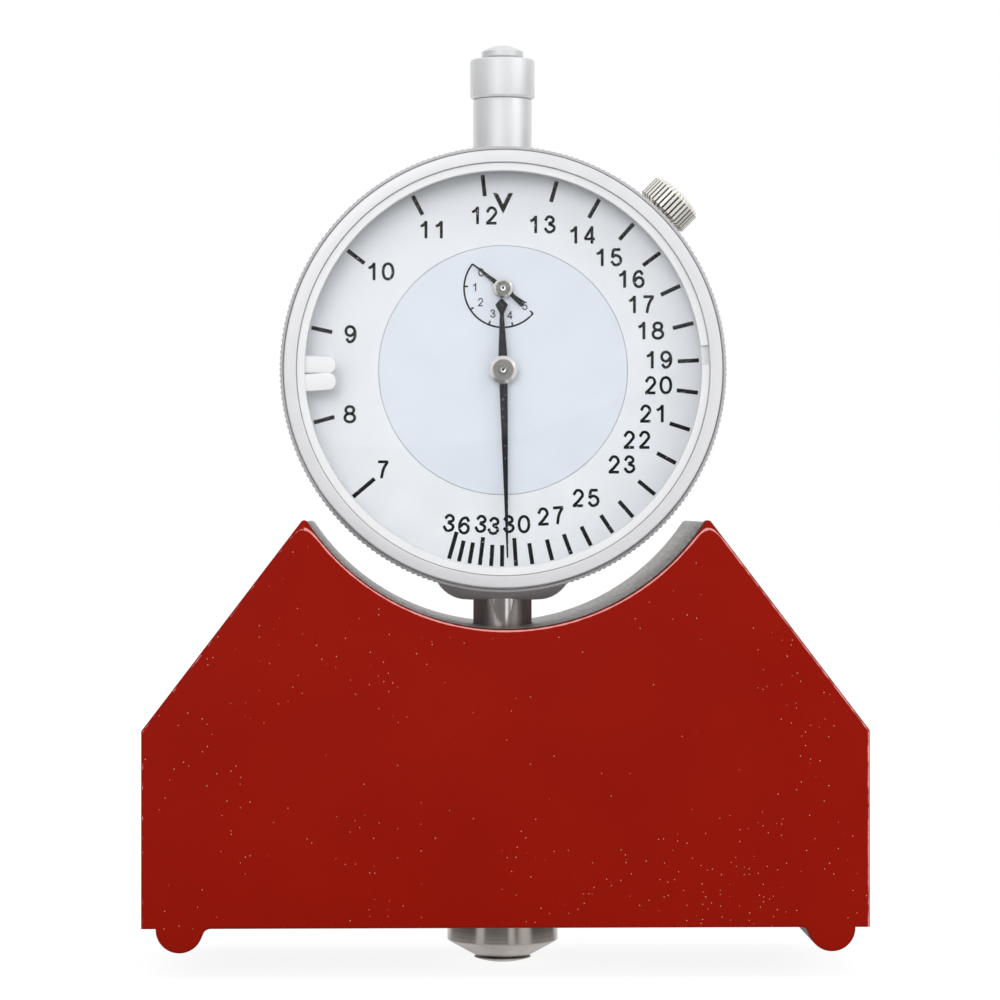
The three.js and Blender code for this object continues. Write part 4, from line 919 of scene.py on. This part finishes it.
band = [
    (27.448, -15.86), (27.52, -15.95), (28.7, -15.95), (28.95, -15.88), (29.048, -15.68), (29.048, -14.2),
    (29.22, -14.2), (29.3, -14.6), (29.6, -14.5), (29.748, -14.35), (29.748, -9.85), (29.248, -9.55),
    (29.248, -8.5), (29.1, -8.4), (27.698, -8.4), (27.698, -12.95), (28.198, -12.95), (28.198, -15.15),
    (27.448, -15.15),
]
rim = moved(knurled(band, 240, 2, 29.7, 0.22, drawn=1), gauge_axis)
piece("knurled_bezel", rim, satin_face, "satin_chrome", "outer_bezel", "bezel")
pane = [(0, -14.2), (27.9, -14.2), (28.048, -14.05), (28.048, -13.0), (0, -13.0)]
piece("round_crystal", moved(turned(pane, 160), gauge_axis), glass, "clear_glass", "outer_bezel", "crystal")

# %% [markdown]
# ## Limit rings
# Two split spring rings lie one behind the other in front of the crystal. Each has a rounded tab that points
# in over the dial, and the user turns the tabs to mark the tension wanted. A ring is a small section spun
# almost all the way round, and the tab is a box with rounded corners, joined to it.

# %% Limit rings
RING_SPAN, RING_THICKNESS = 354.5, 0.4
TAB_LENGTH, TAB_WIDTH, TAB_CORNER, TAB_DISTANCE = 5.0, 2.3, 1.05, 24.75


def limit_ring(front, tab_degrees, raised):
    """A split ring whose gap lies opposite its tab, raised inside. Degrees count from the right and up."""
    back = front + RING_THICKNESS
    corners = [(26.35, front - raised + 0.08), (26.43, front - raised), (27.36, front - raised), (27.41, front),
               (28.04, front), (28.04, back), (26.35, back)]
    shape = bmesh.new()
    start = shape.faces.new([shape.verts.new((radius * MM, y * MM, 0)) for radius, y in corners])
    spin(shape, [start], RING_SPAN, 142, (0, -1, 0))
    bmesh.ops.recalc_face_normals(shape, faces=shape.faces)
    moved(shape, turn(-(tab_degrees - 180 + (360 - RING_SPAN) / 2), "Y"))
    tab = bmesh.new()
    bmesh.ops.create_cube(tab, size=1)
    moved(tab, Matrix.Diagonal((TAB_LENGTH * MM, RING_THICKNESS * MM, TAB_WIDTH * MM, 1)))
    ends = [edge for edge in tab.edges if all(end.co.x < 0 for end in edge.verts)
            and abs(edge.verts[0].co.y - edge.verts[1].co.y) > 0.1 * MM]
    bevel(tab, ends, TAB_CORNER, 8)
    bevel(tab, [edge for edge in tab.edges if all(end.co.y < 0 for end in edge.verts)], 0.16, 3)
    moved(tab, turn(-tab_degrees, "Y") @ shift(TAB_DISTANCE, front + RING_THICKNESS / 2, 0))
    return moved(combined(shape, "UNION", [tab]), gauge)


LIMITS = {"front": (-15.1, 184.0, 0.35, "lower_limit"), "rear": (-14.65, 178.6, 0.02, "upper_limit")}
for side, (front, degrees, raised, body) in LIMITS.items():
    ring = limit_ring(front, degrees, raised)
    piece(side + "_limit_ring", ring, limit_white, "limit_white", body, "limit_ring_" + side)

# %% [markdown]
# ## Dial
# The outer dial ring turns with the bezel and carries the long scale. The inner disc stays with the case and
# carries the small one.

# %% Dial plates
outer = [(16.7, -10.9), (27.548, -10.9), (27.548, -10.5), (16.7, -10.5)]
piece("outer_dial", moved(turned(outer, 160), gauge_axis), dial_white, "dial_white", "outer_bezel", "dial_ring")
inner = [
    (0, -10.9), (16.6, -10.9), (16.65, -10.85), (16.65, -10.5), (13.0, -10.5), (13.0, -9.25), (0, -9.25),
]
holes = [moved(turned(rod(0.7, -12.0, -9.0), 32), place) for place in (gauge_axis, small_axis)]
inner = combined(moved(turned(inner, 160), gauge_axis), "DIFFERENCE", holes)
piece("inner_disc", inner, dial_blue, "dial_pale_blue", "block_and_case", "inner_dial")

# %% [markdown]
# The print is flat shapes that lie just proud of the dial. A tick is one face of a grid, stretched and turned
# to its angle. The scale isn't even, because a mesh gives less and less as it gets tighter. The digits have
# strokes of one width, as if drawn with a pen, so each stroke is a smooth curve made into a flat ribbon: its
# extrusion gives the width, and a tilt of 90 degrees lays it flat.

# %% Ticks
PRINT_Y = -10.92


def bar(shape, width, inner_radius, outer_radius, degrees, middle=0.0):
    """A flat bar that lies along a radius, clockwise from the top, round a point above the gauge's axis."""
    size = Matrix.Diagonal((width * MM, 1, (outer_radius - inner_radius) * MM, 1))
    out = shift(0, 0, (inner_radius + outer_radius) / 2)
    place = shift(0, PRINT_Y, middle) @ turn(degrees, "Y") @ out @ size @ turn(90, "X")
    bmesh.ops.create_grid(shape, x_segments=1, y_segments=1, size=0.5, matrix=place)


# %% Digits
DIGITS = {
    "0": [[(0.32, 1), (0, 0.5), (0.32, 0), (0.64, 0.5), (0.32, 1)]],
    "1": [[(0.06, 0.71), (0.27, 0.82), (0.41, 1)], [(0.41, 1.06), (0.41, -0.06)]],
    "2": [[(0.02, 0.7), (0.31, 1), (0.6, 0.73), (0.44, 0.43), (0.03, 0)], [(-0.03, 0), (0.64, 0)]],
    "3": [[(0.03, 0.75), (0.29, 1), (0.56, 0.76), (0.25, 0.54)], [(0.25, 0.54), (0.62, 0.28), (0.3, 0), (0, 0.26)]],
    "4": [[(0.65, 0.24), (-0.02, 0.24)], [(0, 0.24), (0.46, 1)], [(0.46, 1.06), (0.46, -0.06)]],
    "5": [[(0.59, 1), (0.12, 1)], [(0.14, 1), (0.06, 0.5)],
          [(0.06, 0.5), (0.32, 0.63), (0.62, 0.32), (0.3, 0), (0, 0.24)]],
    "6": [[(0.59, 0.78), (0.35, 1), (0.02, 0.45), (0.33, 0), (0.62, 0.31), (0.34, 0.6), (0.04, 0.34)]],
    "7": [[(0, 1), (0.66, 1)], [(0.62, 1), (0.36, 0.55), (0.22, -0.06)]],
    "8": [[(0.32, 1), (0.06, 0.77), (0.32, 0.54), (0.58, 0.77), (0.32, 1)],
          [(0.32, 0.54), (0, 0.27), (0.32, 0), (0.64, 0.27), (0.32, 0.54)]],
    "9": [[(0.05, 0.22), (0.29, 0), (0.62, 0.55), (0.31, 1), (0.02, 0.69), (0.3, 0.4), (0.6, 0.66)]],
}
PEN, PITCH = 0.185, 0.99
CLOSE = {"33": 0.84}


def number(shape, text, x, z, height, tilt=0.0, pen=PEN):
    """A number of a given height, centred on a point of the dial, drawn with a flat pen of one width."""
    curve = bpy.data.curves.new("number", "CURVE")
    curve.dimensions = "3D"
    curve.extrude = pen / 2
    curve.resolution_u = 6
    pitch = CLOSE.get(text, PITCH)
    strokes = [[(across + place * pitch, up) for across, up in stroke]
               for place, digit in enumerate(text) for stroke in DIGITS[digit]]
    for stroke in strokes:
        spline = curve.splines.new("BEZIER")
        spline.use_cyclic_u = stroke[0] == stroke[-1]
        stroke = stroke[:-1] if spline.use_cyclic_u else stroke
        spline.bezier_points.add(len(stroke) - 1)
        for point, (across, up) in zip(spline.bezier_points, stroke):
            point.co = (across, up, 0)
            point.handle_left_type = point.handle_right_type = "AUTO"
            point.tilt = math.radians(90)
    mesh = bpy.data.meshes.new_from_object(bpy.data.objects.new("number", curve))
    across = [point.co.x for point in mesh.vertices]
    middle = Matrix.Translation((-(min(across) + max(across)) / 2, -0.5, 0))
    grow = Matrix.Scale(height * MM / (1 + pen), 4) @ turn(90, "X")
    mesh.transform(shift(x, PRINT_Y, z) @ turn(tilt, "Y") @ grow @ middle)
    shape.from_mesh(mesh)
    bpy.data.curves.remove(curve)
    bpy.data.meshes.remove(mesh)


# %% Long scale
TICKS = {
    7: 229.8, 8: 254.5, 9: 282.5, 10: 307.6, 11: 332.6, 12: 354.0, 13: 15.9, 14: 29.4, 15: 41.7, 16: 53.2,
    17: 64.5, 18: 76.1, 19: 87.1, 20: 96.6, 21: 107.7, 22: 118.3, 23: 129.3, 24: 138.5, 25: 146.0, 26: 153.4,
    27: 159.7, 28: 165.5, 29: 171.4, 30: 176.2, 31: 180.3, 32: 183.5, 33: 186.8, 34: 189.9, 35: 193.0, 36: 196.0,
}
NUMBERS = {
    7: (-16.0, -13.4), 8: (-20.5, -6.0), 9: (-20.4, 4.7), 10: (-16.3, 13.1), 11: (-9.6, 18.7), 12: (-2.5, 20.6),
    13: (5.3, 19.4), 14: (10.6, 18.0), 15: (14.2, 15.0), 16: (17.2, 12.1), 17: (18.5, 8.7), 18: (19.8, 5.2),
    19: (20.9, 1.3), 20: (20.8, -2.1), 21: (19.9, -5.9), 22: (17.9, -9.4), 23: (15.9, -12.7), 25: (11.1, -17.2),
    27: (6.4, -19.6), 30: (1.8, -20.7), 33: (-2.1, -20.8), 36: (-6.2, -20.7),
}
TILTS = {36: 9.0, 33: 9.0, 27: -4.0}
TICK_WIDTH, TICK_INNER, LONG_TICK_INNER, TICK_OUTER = 0.54, 23.4, 22.5, 26.25
LONG_TICKS = (7, 30, 33, 36)
NUMBER_HEIGHT, NUMBER_LIFT = 2.46, 0.1
scale_print = bmesh.new()
for value, degrees in TICKS.items():
    inner_end = LONG_TICK_INNER if value in LONG_TICKS else TICK_INNER
    bar(scale_print, TICK_WIDTH, inner_end, TICK_OUTER, degrees)
for value, (x, z) in NUMBERS.items():
    number(scale_print, str(value), x, z + NUMBER_LIFT, NUMBER_HEIGHT, TILTS.get(value, 0.0))
for lean in (-1, 1):
    points = [(0, 20.9), (lean * 1.35, 23.7), (lean * 0.72, 23.7), (0, 22.2)]
    scale_print.faces.new([scale_print.verts.new((x * MM, PRINT_Y * MM, z * MM)) for x, z in points[::lean]])
piece("scale_print", moved(scale_print, gauge), print_black, "hand_black", "outer_bezel")

# %% Small scale
SMALL_RADIUS, SMALL_START, SMALL_SPAN = 5.23, 308.7, 178.9
small_print = bmesh.new()
first = [small_print.verts.new((0, PRINT_Y * MM, radius * MM)) for radius in (5.1, 5.34)]
spin(small_print, [*first, small_print.edges.new(first)], SMALL_SPAN, 60, (0, -1, 0))
moved(small_print, shift(0, 0, AXIS_DISTANCE) @ turn(SMALL_START, "Y"))
for degrees in (308.5, 273.0, 237.0, 201.5, 165.6, 130.0):
    bar(small_print, 0.22, SMALL_RADIUS - 0.55, SMALL_RADIUS, degrees, AXIS_DISTANCE)
SMALL_NUMBERS = [(-2.93, 13.08), (-3.82, 11.1), (-3.02, 9.1), (-1.38, 7.57), (0.89, 7.37), (2.91, 8.59)]
for value, (x, z) in enumerate(SMALL_NUMBERS):
    number(small_print, str(value), x, z, 1.12, pen=0.15)
piece("small_print", moved(small_print, gauge), print_black, "hand_black", "block_and_case")

# %% [markdown]
# ## Hands
# The hands are thin black blades. Their outline in the CAD is right, so each is a copy of its node: the loose
# triangles are merged, flat ones dissolved into whole faces, the blade made a little wider across, and the
# edges bevelled by a hair. The small hand's axis lies above the large one's, and it is turned to point at 0.
# Each hub is a small turned disc of nickel, matt and speckled on its face, with a polished chamfer round it and
# a polished lip round the end of the arbor.


# %% Hands
def copy_of(node):
    """The node's own mesh, merged into whole faces."""
    shape = bmesh.new()
    shape.from_mesh(nodes[node].data)
    bmesh.ops.remove_doubles(shape, verts=shape.verts, dist=1e-7)
    bmesh.ops.dissolve_limit(shape, angle_limit=math.radians(1), verts=shape.verts, edges=shape.edges)
    return shape


HANDS = {
    "large_hand": ("centre_arbor", 0.0, 0, 1.1),
    "small_hand": ("takeup_wheel", AXIS_DISTANCE, SMALL_START, 1.3),
}
for node, (body, up, degrees, wider) in HANDS.items():
    along = gauge @ shift(0, 0, up) @ turn(degrees, "Y")
    widen = along @ Matrix.Scale(wider, 4, (1, 0, 0)) @ along.inverted()
    blade = soften(moved(copy_of(node), widen), 0.05)
    piece(node + "_blade", blade, hand_black, "hand_black", body, node)


# %% Hubs
def hub_look(name, place, rim):
    """Nickel that is polished outside the radius of the rim and round the arbor, and matt between them."""
    made = metal(name, (0.7, 0.69, 0.67), 0.2, place, depth=0.003, uneven=0.05)
    tree = made.node_tree
    centred = tree.nodes["Mapping"].outputs[0]
    matt = use(tree, ring_mask, Vector=centred, Inner=0.33 * MM, Outer=rim * MM, Blur=0.03 * MM)
    grains = use(tree, mottle, Vector=centred, Scale=9000.0, Detail=2.0)
    lay_over(made, matt, mix(tree, grains, (0.04, 0.038, 0.035, 1), (0.40, 0.39, 0.365, 1)))
    shader = tree.nodes["Principled BSDF"]
    polished = shader.inputs["Roughness"].links[0].from_socket
    feed(shader, {"Roughness": remap(tree, matt, first=polished, last=0.5)})
    return made


HUBS = {
    "large": (gauge_axis, 1.38, "centre_arbor", [
        (0.42, -12.56), (0.2, -12.56), (0.2, -12.64), (0.38, -12.68), (0.6, -12.62), (0.68, -12.54), (1.34, -12.54),
        (1.4, -12.6), (1.86, -12.4), (1.88, -12.3), (1.0, -12.3), (1.0, -11.55), (0.42, -11.55),
    ]),
    "small": (small_axis, 0.98, "takeup_wheel", [
        (0.42, -11.71), (0.17, -11.71), (0.17, -11.79), (0.32, -11.82), (0.55, -11.78), (0.6, -11.72), (0.95, -11.72),
        (1.0, -11.77), (1.3, -11.64), (1.32, -11.55), (0.85, -11.55), (0.85, -11.1), (0.42, -11.1),
    ]),
}
for size, (place, rim, body, section) in HUBS.items():
    look = hub_look(size + "_hub_nickel", place, rim)
    piece(size + "_hub", moved(turned(section, 64), place), look, "nickel", body, size + "_hand_hub")

# %% [markdown]
# ## Lock knob
# The knob screws down on the bezel and keeps it from turning. It is bright nickel with coarse straight ridges:
# of every five rows of points on its side, one is drawn in. The grooves lie in shade, so their faces get a
# darker nickel.

# %% Lock knob
GROOVE_RADII, GROOVE_ENDS = (3.3, 3.7), (30.5, 33.4)
section = [
    (0, 26.298), (1.5, 26.298), (1.5, 29.948), (2.6, 29.948), (2.6, 30.3), (3.35, 30.3), (3.85, 30.7),
    (3.85, 33.3), (3.4, 33.75), (3.05, 33.8), *dome(2.9, 0.5, 33.84, 8),
]
knob = moved(knurled(section, 38, 5, GROOVE_RADII[0], 0.5), knob_place)
knob = piece("ridged_knob", knob, nickel, "nickel", "knob", "lock_knob")
knob.data.materials.append(groove_nickel)
for face in knob.data.polygons:
    spot = knob_place.inverted() @ face.center
    in_groove = GROOVE_RADII[0] * MM < spot.xy.length < GROOVE_RADII[1] * MM
    face.material_index = int(in_groove and GROOVE_ENDS[0] * MM < spot.z < GROOVE_ENDS[1] * MM)

# %% [markdown]
# ## Springs
# A coil spring is a small circle that is spun round an axis while it moves along it. The main spring is
# squeezed by the 5 mm that the plunger goes up, and the return spring is pulled longer as the spindle does. The
# hairspring is a flat spiral: half turns are spun about two centres in turn, so that each is a little wider
# than the last.


# %% Coil springs
def coil(radius, wire, bottom, top, turns, steps=36):
    """A wire wound round the z axis, with closed ends."""
    shape = bmesh.new()
    start = shift(radius, 0, bottom + wire) @ turn(90, "X")
    ring = bmesh.ops.create_circle(shape, cap_ends=False, segments=12, radius=wire * MM, matrix=start)["verts"]
    wires = list({edge for point in ring for edge in point.link_edges})
    rise = (top - bottom - 2 * wire) / (turns * steps) * MM
    spin(shape, ring + wires, 360 * turns, turns * steps, (0, 0, 1), rise=rise)
    bmesh.ops.holes_fill(shape, edges=[edge for edge in shape.edges if edge.is_boundary])
    bmesh.ops.recalc_face_normals(shape, faces=shape.faces)
    return shape


low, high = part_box("main_spring")
coils = coil(5.5, 0.4, low.z / MM, high.z / MM, 5)
main_spring = piece("main_coil", coils, spring_steel, "spring_steel", "block_and_case", "main_spring")
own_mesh(main_spring)

low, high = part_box("return_spring")
coils = coil(1.0, 0.18, *heights("return_spring"), 16, 24)
coils = moved(coils, gauge @ shift(9.3, 0, 0))
return_spring = piece("return_coil", coils, spring_steel, "spring_steel", None, "return_spring")
middle = (low + high) / 2
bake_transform(return_spring)

# %% Hairspring
HALF_TURNS, SPREAD = 6, 0.3
strip = bmesh.new()
ends = [strip.verts.new((1.17 * MM, depth * MM, 0)) for depth in (-6.0, -5.4)]
geometry = [*ends, strip.edges.new(ends)]
for half_turn in range(HALF_TURNS):
    middle = (-SPREAD * MM if half_turn % 2 else 0, 0, 0)
    geometry = spin(strip, geometry, 180, 24, (0, 1, 0), middle)
bmesh.ops.recalc_face_normals(strip, faces=strip.faces)
bmesh.ops.solidify(strip, geom=strip.faces[:], thickness=0.12 * MM)
moved(strip, gauge @ shift(0, 0, AXIS_DISTANCE))
piece("hair_spiral", strip, bronze, "bronze", "block_and_case", "hairspring")

# %% [markdown]
# ## Movement
# The wheels, plates and arbors inside the case keep their CAD shapes, and get the finish of their metal. The arbors
# are near black, a painted shade: their ends show through the holes of the hubs, which read dark.

# %% Inner finishes
inner_looks = {
    brass: ["takeup_gear", "rack_gear", "rear_movement_plate", "pillar_1", "pillar_2", "pillar_3", "rack_bridge",
            "spindle_guide", "spring_adjuster"],
    steel: ["spindle", "contact_point", "spindle_guide_pin", "rack_pinion", "return_spring_post",
            "front_movement_plate"],
    # near black: painted shade in the hubs' holes
    arbor_shade_steel: ["centre_pinion", "takeup_arbor"],
    bronze: ["plunger_guide_bush"],
    spring_steel: ["plunger_stop_ring"],
}
for look, names in inner_looks.items():
    for name in names:
        for slot in nodes[name].material_slots:
            slot.material = look
print("inner nodes:", sum(len(names) for names in inner_looks.values()))
